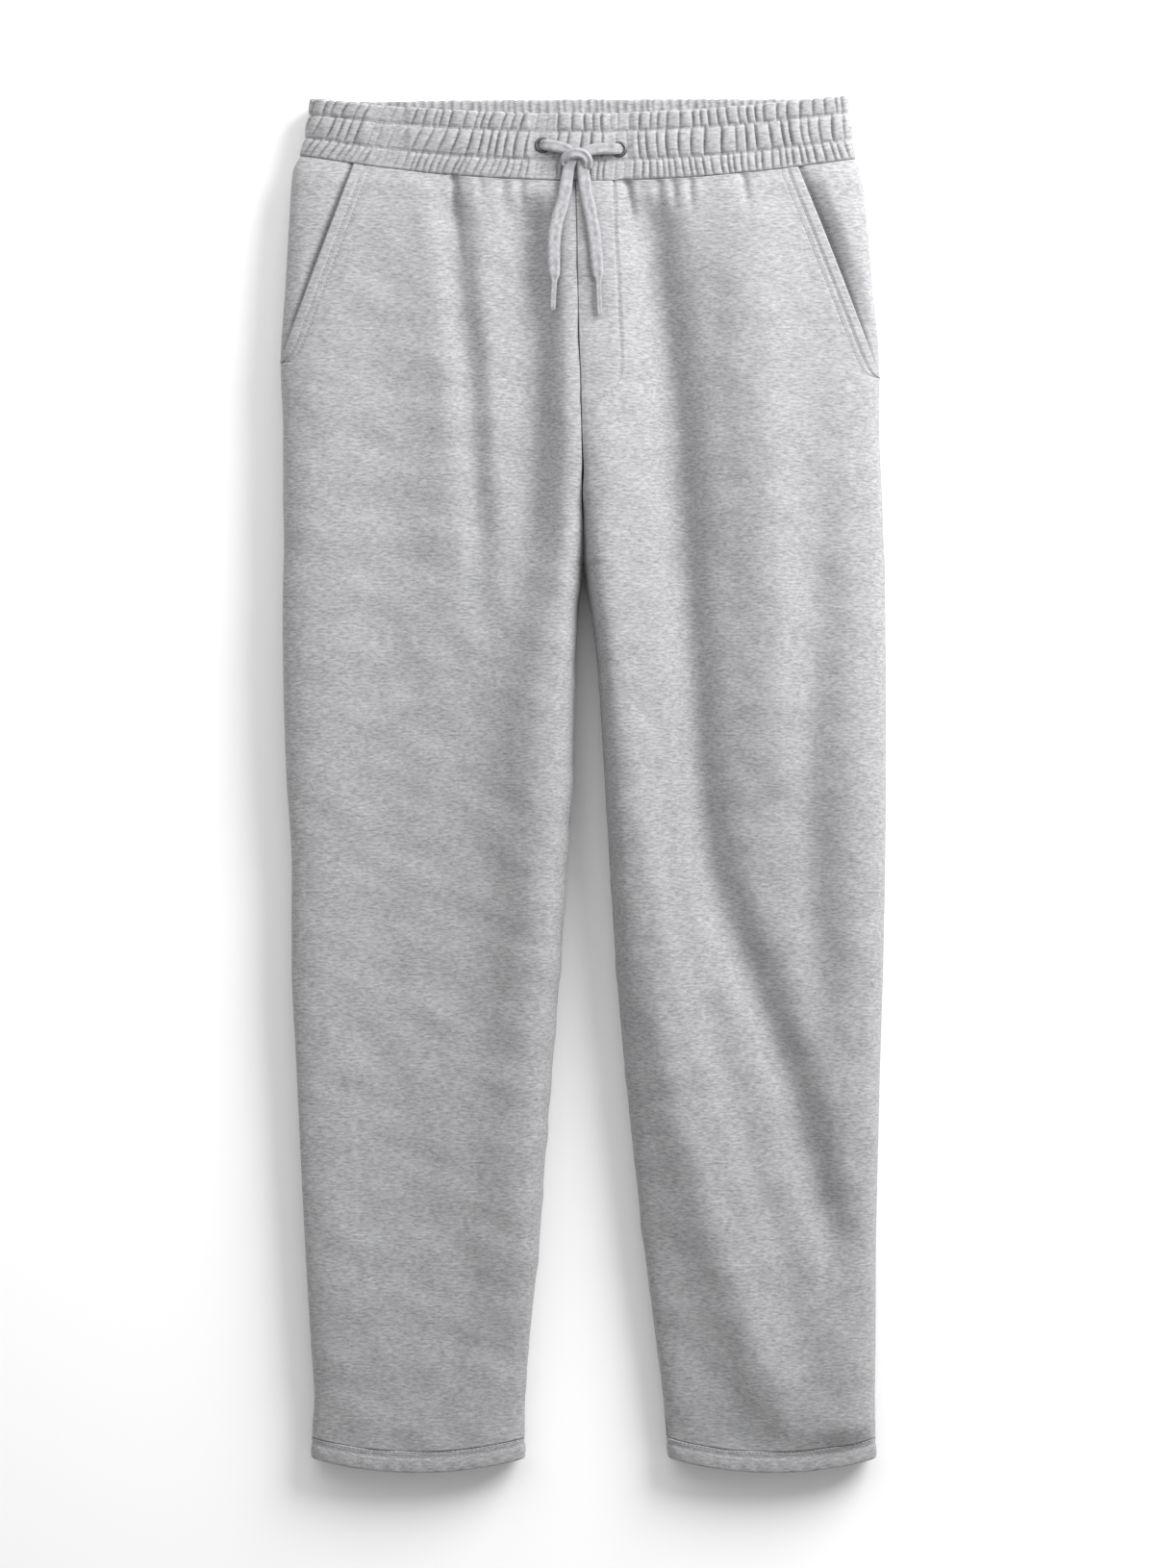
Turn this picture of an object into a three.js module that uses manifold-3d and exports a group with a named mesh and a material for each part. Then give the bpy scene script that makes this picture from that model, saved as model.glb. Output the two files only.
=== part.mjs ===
// Open-hem jogger sweatpants, laid flat on a table with the front up, as separate sewn pieces: two front
// panels, the left one with a mock fly raised in it, two back panels, two hip pieces behind the slanted
// pocket mouths, a gathered elastic waistband, two turned-up hems, two metal eyelets and a drawcord with its
// knot and two tips. Each panel is parted into trunk, thigh and calf.
// Millimetres. +X runs from the wearer's right side to the left one, +Y from the hems to the waist, +Z up.
// The origin is on the table, under the middle of the garment. Sides are the wearer's: right is at -X.

import * as THREE from "three";
import { mergeVertices } from "three/addons/utils/BufferGeometryUtils.js";
import Module from "manifold-3d";

const wasm = await Module();
wasm.setup();

// Cloth and sewing
const CLOTH = 2.2;
const BAND_WALL = 5;
const HEM_WALL = 4;
const HEM_ROLL = 0.6;
const GAP = 0.3;

// Levels are heights up the garment at its outer edges, where the seams across it reach the edge.
const TOP_LEVEL = 525;
const WAIST_LEVEL = 478.5;
const CROTCH_LEVEL = 158;
const KNEE_LEVEL = -170;
const HEM_LEVEL = -497.5;
const BOTTOM_LEVEL = -515.5;

// How far seams across the garment hang below their level half way between its outer edges.
const DIP = { frontTop: 13.5, frontWaist: 19, backTop: 3, backWaist: 8, frontHem: 10.3, backHem: 2 };
const WAIST_DIP_REACH = 230;
const HEM_DIP_REACH = 120;
const BAND_TILT = 1.2;

// Sections across the garment. right and left are its outer edges, rightIn and leftIn the legs' inner edges.
// Above the crotch the inner edges are where the round of each leg would close if the other were not there.
// seam is the height of the side seams, top that of the crown, and joined how far the section is one tube.
const SECTIONS = [
  { level: 526, right: -207.4, rightIn: 90, leftIn: -90, left: 200.2, seam: 16, top: 36, joined: 1 },
  { level: 500, right: -210.8, rightIn: 90, leftIn: -90, left: 203.3, seam: 16, top: 36, joined: 1 },
  { level: 478.5, right: -217, rightIn: 85, leftIn: -85, left: 208, seam: 17, top: 37, joined: 1 },
  { level: 466, right: -222.5, rightIn: 80, leftIn: -80, left: 212.3, seam: 18, top: 41, joined: 0.95 },
  { level: 430, right: -225, rightIn: 68, leftIn: -72, left: 216.5, seam: 20, top: 46, joined: 0.8 },
  { level: 378, right: -228, rightIn: 52, leftIn: -56, left: 220.7, seam: 21, top: 49, joined: 0.5 },
  { level: 321, right: -231.5, rightIn: 36, leftIn: -40, left: 225.8, seam: 21, top: 51, joined: 0.25 },
  { level: 268, right: -229.6, rightIn: 21, leftIn: -24, left: 226, seam: 21, top: 52, joined: 0.1 },
  { level: 216, right: -229.6, rightIn: 5, leftIn: -7, left: 228.2, seam: 21, top: 52, joined: 0 },
  { level: 188, right: -229, rightIn: 2, leftIn: -2.5, left: 229, seam: 21, top: 52, joined: 0 },
  { level: 158, right: -229.6, rightIn: -1, leftIn: 1, left: 230.4, seam: 21, top: 52, joined: 0 },
  { level: 127, right: -230, rightIn: -4.4, leftIn: 6.2, left: 230.4, seam: 21, top: 52, joined: 0 },
  { level: 84, right: -229.6, rightIn: -6.6, leftIn: 11, left: 231, seam: 21, top: 51, joined: 0 },
  { level: 10, right: -227.4, rightIn: -8.2, leftIn: 15.6, left: 231, seam: 20, top: 49, joined: 0 },
  { level: -63, right: -223.2, rightIn: -12.6, leftIn: 20, left: 230.4, seam: 19, top: 46, joined: 0 },
  { level: -137, right: -223.4, rightIn: -17.7, leftIn: 24.6, left: 229, seam: 18, top: 44, joined: 0 },
  { level: -210, right: -220, rightIn: -23.5, leftIn: 30.8, left: 226.8, seam: 17, top: 42, joined: 0 },
  { level: -284, right: -216.6, rightIn: -29.4, leftIn: 38.4, left: 225, seam: 16, top: 40, joined: 0 },
  { level: -357, right: -213, rightIn: -34.7, leftIn: 46.7, left: 223.6, seam: 15, top: 37, joined: 0 },
  { level: -430, right: -208.7, rightIn: -42, leftIn: 55.9, left: 223.4, seam: 14, top: 34, joined: 0 },
  { level: -470, right: -206.3, rightIn: -44.9, leftIn: 61, left: 223, seam: 13, top: 32, joined: 0 },
  { level: -497.5, right: -208, rightIn: -45.3, leftIn: 63.2, left: 223.4, seam: 13, top: 30, joined: 0 },
  { level: -516, right: -208.4, rightIn: -44.9, leftIn: 65, left: 223.8, seam: 13, top: 29, joined: 0 },
];
const LEG_POWER = 4;
const WIDE_POWER = 5;
const UNDERSIDE_POWER = 4;
const UNDERSIDE_FULLNESS = 1.06;

// Where the front centre seam runs, from the waist to the crotch.
const CENTRE = [
  { level: 475, x: -6 },
  { level: 366, x: -4 },
  { level: 292, x: -2 },
  { level: 158, x: 0 },
];

// Main folds of the front, each along evenly spaced x positions from one level down to another. A positive
// rise is a ridge and a negative one a trough.
const FOLDS = [
  { from: 468, to: 60, x: [-101, -90, -86, -80], width: 13, rise: -5, fadeIn: 22, fadeOut: 200 },
  { from: 458, to: 40, x: [-45, -45, -48, -66], width: 15, rise: -8, fadeIn: 20, fadeOut: 200 },
  { from: 466, to: -420, x: [48, 68, 80, 100, 162, 198], width: 17, rise: -7, fadeIn: 20, fadeOut: 120 },
  { from: 440, to: 60, x: [56, 68, 88], width: 34, rise: -3.5, fadeIn: 60, fadeOut: 120 },
  { from: 290, to: -500, x: [10, 16, 42, 88, 150], width: 26, rise: 6.5, fadeIn: 80, fadeOut: 60 },
  { from: 440, to: -60, x: [128, 138, 148], width: 28, rise: 4, fadeIn: 60, fadeOut: 120 },
  { from: 200, to: -260, x: [176, 172, 190], width: 18, rise: -4, fadeIn: 80, fadeOut: 120 },
  { from: 400, to: -440, x: [-146, -148, -154, -156], width: 50, rise: -6, fadeIn: 160, fadeOut: 200 },
  { from: 200, to: -460, x: [-34, -40, -56], width: 30, rise: 6.5, fadeIn: 140, fadeOut: 120 },
  { from: 160, to: -300, x: [-74, -80, -90], width: 34, rise: -3.5, fadeIn: 120, fadeOut: 160 },
];
const FOLD_START = 0.35;
const FOLD_FULL = 0.8;
const CENTRE_GROOVE = { width: 5, depth: 1.6 };

// Slanted pocket mouths: where each starts on the waist seam, and the level where it ends at the side.
const POCKET = { right: { x: -175.7, end: 321 }, left: { x: 163.5, end: 309 } };
const POCKET_LAP = 14;
const POCKET_DROP = 0.8;
const POCKET_SAG = 2.4;

// Mock fly, raised on the wearer's left front: its width from the centre seam, to where its curve turns in.
const FLY = [
  { level: 478.5, width: 30 },
  { level: 406, width: 32 },
  { level: 330, width: 33 },
  { level: 311, width: 31.5 },
  { level: 301, width: 26 },
  { level: 292, width: 8 },
];
const FLY_WIDTH = 33;
const FLY_RISE = 1;
const FLY_EDGE = 3;

// Waistband: gathers round it, three channels between two rows of stitches, and calm places in the gathers.
const GATHERS = 76;
const COLUMNS_PER_GATHER = 4;
const GATHER_DEPTH = 2.2;
const GATHER_UNEVEN = 0.5;
const GATHER_SLANT = 12;
const BAND_ROWS = [
  { share: 0, crease: 0.35, pinch: 0.8 },
  { share: 0.15, crease: 1, pinch: 0 },
  { share: 0.3, crease: 0.4, pinch: 1.2 },
  { share: 0.5, crease: 1, pinch: 0 },
  { share: 0.7, crease: 0.4, pinch: 1.2 },
  { share: 0.86, crease: 1, pinch: 0 },
  { share: 1, crease: 0.7, pinch: 1 },
];
const LINING_ROWS = [
  { share: 1, crease: 0.3 },
  { share: 0.5, crease: 0.4 },
  { share: 0, crease: 0.2 },
];
const CALM = [
  { x: -149, reach: 18 },
  { x: -31.4, reach: 12 },
  { x: 27, reach: 12 },
];

// Eyelets, drawcord, knot and tips
const EYELET = { rim: 6.1, hole: 3.4, barrel: 4.3, rise: 1.3, sunk: 2.8, clear: 3.4, sides: 20 };
const EYELETS = { right: { x: -31.4, y: 486.5 }, left: { x: 27, y: 483.3 } };
const KNOT = { x: -5.9, y: 478.6, z: 41.8, halfWidth: 10.4, halfLength: 8.4, halfHeight: 4.6 };
const CORD = { width: 9.4, thickness: 4, sides: 10, step: 14 };
const STRANDS = {
  right: [
    { x: -31.4, y: 486.5, z: 40.2 },
    { x: -24.5, y: 485.7, z: 40.5 },
    { x: -16.75, y: 484.1, z: 41.2 },
  ],
  left: [
    { x: 27, y: 483.3, z: 40.2 },
    { x: 16.5, y: 483.2, z: 40.5 },
    { x: 4.95, y: 482.4, z: 41.2 },
  ],
};
const FREE_ENDS = {
  right: [
    { x: -11.2, y: 469.7, z: 41.4 },
    { x: -12.9, y: 460, z: 41.2 },
    { x: -15.5, y: 443.8, z: 43.8 },
    { x: -20.3, y: 428, z: 46.5 },
    { x: -22.5, y: 414, z: 48.1 },
    { x: -22.9, y: 398.9, z: 49.2 },
    { x: -22.4, y: 382.6, z: 50.4 },
  ],
  left: [
    { x: -0.6, y: 469.7, z: 41.4 },
    { x: 0.4, y: 460, z: 41.8 },
    { x: 2.2, y: 448.2, z: 44.2 },
    { x: 5.4, y: 432, z: 47.4 },
    { x: 8.1, y: 415.8, z: 49.2 },
    { x: 9.7, y: 398, z: 50.6 },
    { x: 11, y: 382.6, z: 51.5 },
  ],
};
const TIPS = {
  right: { from: { x: -22.4, y: 382.2, z: 50.4 }, to: { x: -23.8, y: 358.9, z: 51.2 } },
  left: { from: { x: 11, y: 382.2, z: 51.5 }, to: { x: 12, y: 354.8, z: 52.8 } },
};
const TIP_WIDTH = 5;

// How finely each piece is divided
const FRONT_ROWS = { pocket: 8, hip: 6, thigh: 6, calf: 5 };
const BACK_ROWS = { trunk: 8, thigh: 4, calf: 4 };
const HIP_ROWS = 8;
const FRONT_COLUMNS = 12;
const FLY_COLUMNS = 3;
const BACK_COLUMNS = 10;
const HIP_COLUMNS = 7;
const HEM_COLUMNS = 40;
const CROWDING = 1.35;
const POCKET_CROWDING = 0.75;

const SIGN = { right: -1, left: 1 };
const COLOURS = { cloth: 0xb4b4b8, cord: 0xa9a9ad, metal: 0x4a4a4c };

// Interpolation

function smooth(from, to, value) {
  const t = Math.min(1, Math.max(0, (value - from) / (to - from)));
  return t * t * (3 - 2 * t);
}

// A smooth curve through a table's column, without overshoot between its rows. Levels fall down the table.
function along(table, column, level) {
  const last = table.length - 1;
  if (level >= table[0].level) return table[0][column];
  if (level <= table[last].level) return table[last][column];
  const i = table.findIndex((row) => row.level <= level) - 1;
  const slope = (k) => {
    if (k < 0 || k >= last) return null;
    return (table[k + 1][column] - table[k][column]) / (table[k + 1].level - table[k].level);
  };
  const tangent = (k) => {
    const before = slope(k - 1);
    const after = slope(k);
    if (before === null) return after;
    if (after === null) return before;
    return before * after <= 0 ? 0 : (2 * before * after) / (before + after);
  };
  const span = table[i + 1].level - table[i].level;
  const t = (level - table[i].level) / span;
  const rise = table[i + 1][column] - table[i][column];
  return (
    table[i][column] +
    rise * (3 * t * t - 2 * t * t * t) +
    span * (tangent(i) * (t - 2 * t * t + t * t * t) + tangent(i + 1) * (t * t * t - t * t))
  );
}

// A smooth curve through evenly spaced values, at a share of its length.
function through(values, share) {
  const last = values.length - 1;
  const at = Math.min(last - 1e-9, Math.max(0, share * last));
  const i = Math.floor(at);
  const t = at - i;
  const value = (k) => values[Math.min(last, Math.max(0, k))];
  const bend = [value(i - 1), value(i), value(i + 1), value(i + 2)];
  return (
    bend[1] +
    0.5 * t * (bend[2] - bend[0] + t * (2 * bend[0] - 5 * bend[1] + 4 * bend[2] - bend[3] +
      t * (3 * (bend[1] - bend[2]) + bend[3] - bend[0])))
  );
}

// The same uneven number from 0 to 1 for each whole number.
function uneven(n) {
  const value = Math.sin(n * 127.1 + 11.7) * 43758.5453;
  return value - Math.floor(value);
}

// The form of the garment: one height over the table for each side of the cloth, at any x and level.

function sectionAt(level) {
  const section = {};
  for (const column of Object.keys(SECTIONS[0])) section[column] = along(SECTIONS, column, level);
  return section;
}

function centreAt(level) {
  return along(CENTRE, "x", level);
}

// How full a rounded section is at x: 0 at its two edges and 1 in the middle.
function fullness(x, edge, otherEdge, power) {
  const across = Math.abs((2 * x - edge - otherEdge) / (edge - otherEdge));
  return across >= 1 ? 0 : Math.pow(1 - Math.pow(across, power), 1 / power);
}

function legFullness(x, section, side, power) {
  const inner = side === "right" ? section.rightIn : section.leftIn;
  return fullness(x, section[side], inner, power);
}

// Both legs' rounds, brought to one height where they meet at the centre seam.
function sideFullness(x, section, side, centre, power) {
  const own = legFullness(x, section, side, power);
  if (section.rightIn <= section.leftIn) return own;
  const right = legFullness(centre, section, "right", power);
  const left = legFullness(centre, section, "left", power);
  const near = 1 - smooth(0, 30, Math.abs(x - centre));
  const ownAtCentre = side === "right" ? right : left;
  return own + ((right + left) / 2 - ownAtCentre) * near;
}

function mixedFullness(x, section, side, centre, legPower, widePower) {
  const wide = fullness(x, section.right, section.left, widePower);
  const leg = sideFullness(x, section, side, centre, legPower);
  return section.joined * wide + (1 - section.joined) * leg;
}

function foldsAt(x, level) {
  let rise = 0;
  for (const fold of FOLDS) {
    if (level > fold.from + fold.fadeIn || level < fold.to) continue;
    const line = through(fold.x, (fold.from - level) / (fold.from - fold.to));
    const across = (x - line) / fold.width;
    const start = smooth(-fold.fadeIn, fold.fadeIn, fold.from - level);
    const end = smooth(0, fold.fadeOut, level - fold.to);
    rise += fold.rise * start * end * Math.exp(-across * across);
  }
  return rise;
}

function flyAt(x, level) {
  const across = x - centreAt(level);
  if (level > WAIST_LEVEL || level < FLY.at(-1).level || across < 0) return 0;
  const width = along(FLY, "width", level);
  return FLY_RISE * (1 - smooth(width, width + FLY_EDGE, across));
}

function topHeight(x, level, side) {
  const section = sectionAt(level);
  const centre = centreAt(level);
  const full = mixedFullness(x, section, side, centre, LEG_POWER, WIDE_POWER);
  const above = section.top - section.seam;
  const folds = foldsAt(x, level) * smooth(FOLD_START, FOLD_FULL, full);
  const across = (x - centre) / CENTRE_GROOVE.width;
  const joined = level > CROTCH_LEVEL && level <= WAIST_LEVEL;
  const groove = joined ? CENTRE_GROOVE.depth * Math.exp(-across * across) * smooth(0.3, 0.9, full) : 0;
  return section.seam + above * full + folds + flyAt(x, level) - groove;
}

function underHeight(x, level, side) {
  const section = sectionAt(level);
  const full = mixedFullness(x, section, side, 0, UNDERSIDE_POWER, WIDE_POWER);
  return section.seam * Math.max(0, 1 - UNDERSIDE_FULLNESS * full);
}

// The y of a point: its level, less the dip of the seams that cross the garment near it.
function yAt(x, level, face) {
  const section = sectionAt(level);
  const side = x < centreAt(level) ? "right" : "left";
  const inner = side === "right" ? section.rightIn : section.leftIn;
  const wide = (2 * x - section.right - section.left) / (section.left - section.right);
  const leg = (2 * x - section[side] - inner) / (section[side] - inner);
  const bandShare = smooth(WAIST_LEVEL, TOP_LEVEL, level);
  const waistDip = DIP[face + "Waist"] + (DIP[face + "Top"] - DIP[face + "Waist"]) * bandShare;
  const waist = waistDip * smooth(WAIST_LEVEL - WAIST_DIP_REACH, WAIST_LEVEL, level);
  const hem = DIP[face + "Hem"] * (1 - smooth(BOTTOM_LEVEL, HEM_LEVEL + HEM_DIP_REACH, level));
  const tilt = BAND_TILT * (2 * bandShare - 1) * smooth(WAIST_LEVEL - 60, WAIST_LEVEL, level) * wide;
  return level - waist * Math.max(0, 1 - wide * wide) - hem * Math.max(0, 1 - leg * leg) + tilt;
}

// Points of a section, by the angle round it from the outer edge, 0, to the inner edge, a half turn.

function roundAt(level, side) {
  const section = sectionAt(level);
  const inner = side === "right" ? section.rightIn : section.leftIn;
  return { middle: (section[side] + inner) / 2, half: Math.abs(section[side] - inner) / 2 };
}

function xAt(angle, level, side) {
  const { middle, half } = roundAt(level, side);
  return middle + SIGN[side] * half * Math.cos(angle);
}

function angleOf(x, level, side) {
  const { middle, half } = roundAt(level, side);
  return Math.acos(Math.min(1, Math.max(-1, (SIGN[side] * (x - middle)) / half)));
}

function innerAngle(level, side, face) {
  if (level <= CROTCH_LEVEL) return Math.PI;
  const centre = face === "front" ? centreAt(level) : 0;
  return angleOf(centre + (SIGN[side] * GAP) / 2, level, side);
}

// The point of a face at an angle, moved into the garment square to the section, or straight down or up at
// the centre seam. Front and back keep half a gap from the height of the side seams.
function clothPoint(angle, level, side, face, inward, shift = 0) {
  const height = face === "front" ? topHeight : underHeight;
  const spot = (a) => {
    const x = xAt(a, level, side);
    return new THREE.Vector2(x, height(x, level, side));
  };
  const step = 0.002;
  const turn = face === "front" ? 1 : -1;
  const slope = spot(Math.min(Math.PI, angle + step)).sub(spot(Math.max(0, angle - step)));
  const atCentre = level > CROTCH_LEVEL && angle > innerAngle(level, side, face) - step;
  const normal = atCentre ? new THREE.Vector2(0, turn) : new THREE.Vector2(slope.y, -slope.x).normalize();
  if (!atCentre) normal.multiplyScalar(SIGN[side] * turn);
  const point = spot(angle).addScaledVector(normal, -inward);
  const seam = sectionAt(level).seam + (turn * GAP) / 2;
  const atEdge = angle <= 0 || angle >= Math.PI;
  const z = atEdge ? seam : turn * Math.max(turn * point.y, turn * seam);
  return new THREE.Vector3(point.x, yAt(point.x, level, face) + shift, z);
}

// Solids from grids and rings

function closed(points, triangles) {
  let volume = 0;
  for (const [a, b, c] of triangles) volume += points[a].dot(points[b].clone().cross(points[c]));
  const outward = triangles.flatMap(([a, b, c]) => (volume > 0 ? [a, b, c] : [a, c, b]));
  const geometry = new THREE.BufferGeometry();
  const flat = points.flatMap((point) => point.toArray());
  geometry.setAttribute("position", new THREE.Float32BufferAttribute(flat, 3));
  geometry.setIndex(outward);
  geometry.computeVertexNormals();
  return geometry;
}

// A sheet of cloth: an outer and an inner grid of the same size, closed round their edges.
function sheet(outer, inner) {
  const rows = outer.length;
  const columns = outer[0].length;
  const out = (i, j) => i * columns + j;
  const within = (i, j) => rows * columns + out(i, j);
  const triangles = [];
  const quad = (a, b, c, d) => triangles.push([a, b, c], [a, c, d]);
  for (let i = 0; i < rows - 1; i++) {
    for (let j = 0; j < columns - 1; j++) {
      quad(out(i, j), out(i + 1, j), out(i + 1, j + 1), out(i, j + 1));
      quad(within(i, j), within(i, j + 1), within(i + 1, j + 1), within(i + 1, j));
    }
    quad(out(i, 0), within(i, 0), within(i + 1, 0), out(i + 1, 0));
    const end = columns - 1;
    quad(out(i, end), out(i + 1, end), within(i + 1, end), within(i, end));
  }
  for (let j = 0; j < columns - 1; j++) {
    quad(out(0, j), out(0, j + 1), within(0, j + 1), within(0, j));
    const end = rows - 1;
    quad(out(end, j), within(end, j), within(end, j + 1), out(end, j + 1));
  }
  return closed([...outer.flat(), ...inner.flat()], triangles);
}

// A tube's wall: rings of equal length, each joined to the next and the last to the first.
function ringWall(rings) {
  const count = rings[0].length;
  const triangles = [];
  rings.forEach((_, i) => {
    const next = (i + 1) % rings.length;
    for (let j = 0; j < count; j++) {
      const k = (j + 1) % count;
      triangles.push([i * count + j, next * count + j, next * count + k]);
      triangles.push([i * count + j, next * count + k, i * count + k]);
    }
  });
  return closed(rings.flat(), triangles);
}

// Steps from one value to another, closer together at the start where crowding is over 1.
function span(from, to, count, crowding = 1) {
  return Array.from({ length: count }, (_, i) => from + (to - from) * Math.pow((i + 1) / count, crowding));
}

// The first and last rows of a piece are half a gap inside its own stretch of the garment.
function parted(row, rows) {
  if (row === 0) return -GAP / 2;
  return row === rows - 1 ? GAP / 2 : 0;
}

// Panels and hip pieces. A panel is three solids, parted at the crotch and the knee, so that the collision
// pieces made for each of them stay close to its wall.

function pocketEdge(level, side) {
  const { x, end } = POCKET[side];
  const edge = along(SECTIONS, side, end);
  return x + ((edge - x) * (WAIST_LEVEL - level)) / (WAIST_LEVEL - end);
}

// Columns of a front panel, from the side seam or pocket mouth, past the edge of the fly, to the inner edge.
function frontAngles(level, side) {
  const start = level > POCKET[side].end ? angleOf(pocketEdge(level, side), level, side) : 0;
  const end = innerAngle(level, side, "front");
  const inner = xAt(end, level, side);
  const flyFoot = angleOf(inner + SIGN[side] * (FLY_WIDTH + FLY_EDGE), level, side);
  const flyTop = angleOf(inner + SIGN[side] * FLY_WIDTH, level, side);
  const panelColumns = span(start, flyFoot, FRONT_COLUMNS, CROWDING);
  return [start, ...panelColumns, flyTop, ...span(flyTop, end, FLY_COLUMNS)];
}

function frontLevels(side) {
  const { pocket, hip, thigh, calf } = FRONT_ROWS;
  const { end } = POCKET[side];
  const curve = side === "left" ? FLY.map((row) => row.level).filter((level) => level < end) : [];
  const upper = [WAIST_LEVEL, ...span(WAIST_LEVEL, end, pocket, POCKET_CROWDING), ...curve];
  const lowest = upper.at(-1) - 1;
  return {
    trunk: [...upper, lowest, ...span(lowest, CROTCH_LEVEL + 8, hip), CROTCH_LEVEL],
    thigh: [CROTCH_LEVEL, ...span(CROTCH_LEVEL, KNEE_LEVEL, thigh)],
    calf: [KNEE_LEVEL, ...span(KNEE_LEVEL, HEM_LEVEL, calf)],
  };
}

function backLevels() {
  const { trunk, thigh, calf } = BACK_ROWS;
  const underCrotch = CROTCH_LEVEL - 12;
  return {
    trunk: [WAIST_LEVEL, ...span(WAIST_LEVEL, CROTCH_LEVEL + 8, trunk), CROTCH_LEVEL],
    thigh: [CROTCH_LEVEL, underCrotch, ...span(underCrotch, KNEE_LEVEL, thigh)],
    calf: [KNEE_LEVEL, ...span(KNEE_LEVEL, HEM_LEVEL, calf)],
  };
}

function backAngles(level, side) {
  return [0, ...span(0, innerAngle(level, side, "back"), BACK_COLUMNS, CROWDING)];
}

function panel(side, face, levels) {
  const angles = face === "front" ? frontAngles : backAngles;
  const grid = (inward) =>
    levels.map((level, row) => {
      const shift = parted(row, levels.length);
      return angles(level, side).map((angle) => clothPoint(angle, level, side, face, inward, shift));
    });
  return sheet(grid(0), grid(CLOTH));
}

// The hip piece that shows in a pocket mouth: in the surface at the side, under the front panel at the mouth,
// and lower still half way down, where the mouth stands open.
function hipPiece(side) {
  const end = POCKET[side].end + 1;
  const levels = [WAIST_LEVEL, ...span(WAIST_LEVEL, end, HIP_ROWS)];
  const grid = (inward) =>
    levels.map((level, row) => {
      const down = (WAIST_LEVEL - level) / (WAIST_LEVEL - end);
      const outer = along(SECTIONS, side, level);
      const mouth = pocketEdge(level, side);
      const last = angleOf(mouth - SIGN[side] * POCKET_LAP, level, side);
      return [0, ...span(0, last, HIP_COLUMNS)].map((angle) => {
        const across = (xAt(angle, level, side) - outer) / (mouth - outer);
        const covered = Math.max(smooth(0.15, 0.85, across), smooth(0.6, 0.8, down));
        const sag = POCKET_SAG * (Math.sin(Math.PI * down) * smooth(0, 1, across) + smooth(0.55, 0.9, down));
        const drop = covered * (CLOTH + POCKET_DROP) + sag;
        return clothPoint(angle, level, side, "front", inward + drop, parted(row, levels.length));
      });
    });
  return sheet(grid(0), grid(CLOTH));
}

// A loop round both faces of a section, from the wearer's right side over the front and back below, with
// points evenly spaced along it. Each point has its outward normal.
function loopAt(level, right, left, side, shares) {
  const steps = 720;
  const middle = (right + left) / 2;
  const half = (left - right) / 2;
  const dense = Array.from({ length: steps + 1 }, (_, k) => {
    const turn = (2 * Math.PI * k) / steps;
    const x = middle - half * Math.cos(turn);
    const front = turn < Math.PI;
    return { x, z: (front ? topHeight : underHeight)(x, level, side(x)), face: front ? "front" : "back" };
  });
  const reach = [0];
  for (let k = 1; k <= steps; k++) {
    reach.push(reach[k - 1] + Math.hypot(dense[k].x - dense[k - 1].x, dense[k].z - dense[k - 1].z));
  }
  let k = 0;
  return shares.map((share) => {
    const goal = share * reach[steps];
    while (k < steps - 1 && reach[k + 1] < goal) k++;
    while (k > 0 && reach[k] > goal) k--;
    const t = (goal - reach[k]) / (reach[k + 1] - reach[k] || 1);
    const before = dense[Math.max(0, k - 2)];
    const after = dense[Math.min(steps, k + 3)];
    const normal = new THREE.Vector2(before.z - after.z, after.x - before.x).normalize();
    const x = dense[k].x + t * (dense[k + 1].x - dense[k].x);
    const z = dense[k].z + t * (dense[k + 1].z - dense[k].z);
    return { x, z, face: dense[k].face, normal };
  });
}

function loopPoint(spot, level, outward, shift) {
  const x = spot.x + spot.normal.x * outward;
  const z = Math.max(0, spot.z + spot.normal.y * outward);
  return new THREE.Vector3(x, yAt(x, level, spot.face) + shift, z);
}

function waistband() {
  const columns = GATHERS * COLUMNS_PER_GATHER;
  const height = TOP_LEVEL - WAIST_LEVEL;
  const ring = ({ share, crease, pinch = 0 }, inward) => {
    const level = WAIST_LEVEL + height * share;
    const { right, left } = sectionAt(level);
    const girth = 2 * (left - right);
    const shares = Array.from({ length: columns }, (_, j) => {
      const front = Math.sin(Math.PI * Math.min(1, (4 * j) / columns));
      return j / columns + ((GATHER_SLANT * (share - 0.5)) / girth) * Math.max(0, front);
    });
    const shift = share === 0 ? GAP / 2 : 0;
    return loopAt(level, right, left, () => "left", shares).map((spot, j) => {
      const gather = Math.floor(j / COLUMNS_PER_GATHER);
      const wave = Math.sin((Math.PI * (j % COLUMNS_PER_GATHER)) / COLUMNS_PER_GATHER);
      const depth = GATHER_DEPTH * (1 - GATHER_UNEVEN * uneven(gather));
      const calm = spot.face === "front" ? Math.max(...CALM.map((place) => calmAt(place, spot.x))) : 0;
      const raised = crease * depth * wave * (1 - calm);
      const edge = share === 0 || share === 1 ? 0 : calm;
      return loopPoint(spot, level, raised - pinch * (1 - edge) - inward, shift);
    });
  };
  const wall = ringWall([
    ...BAND_ROWS.map((row) => ring(row, 0)),
    ...LINING_ROWS.map((row) => ring(row, BAND_WALL)),
  ]);
  return Object.values(EYELETS).reduce((solid, { x, y }) => {
    const radius = EYELET.barrel + GAP;
    const hole = new THREE.CylinderGeometry(radius, radius, 2 * EYELET.clear, EYELET.sides);
    hole.rotateX(Math.PI / 2).translate(x, y, bandTop());
    return cut(solid, hole);
  }, wall);
}

function calmAt({ x, reach }, at) {
  return 1 - smooth(0.6 * reach, reach, Math.abs(at - x));
}

function bandTop() {
  return SECTIONS[0].top;
}

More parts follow.
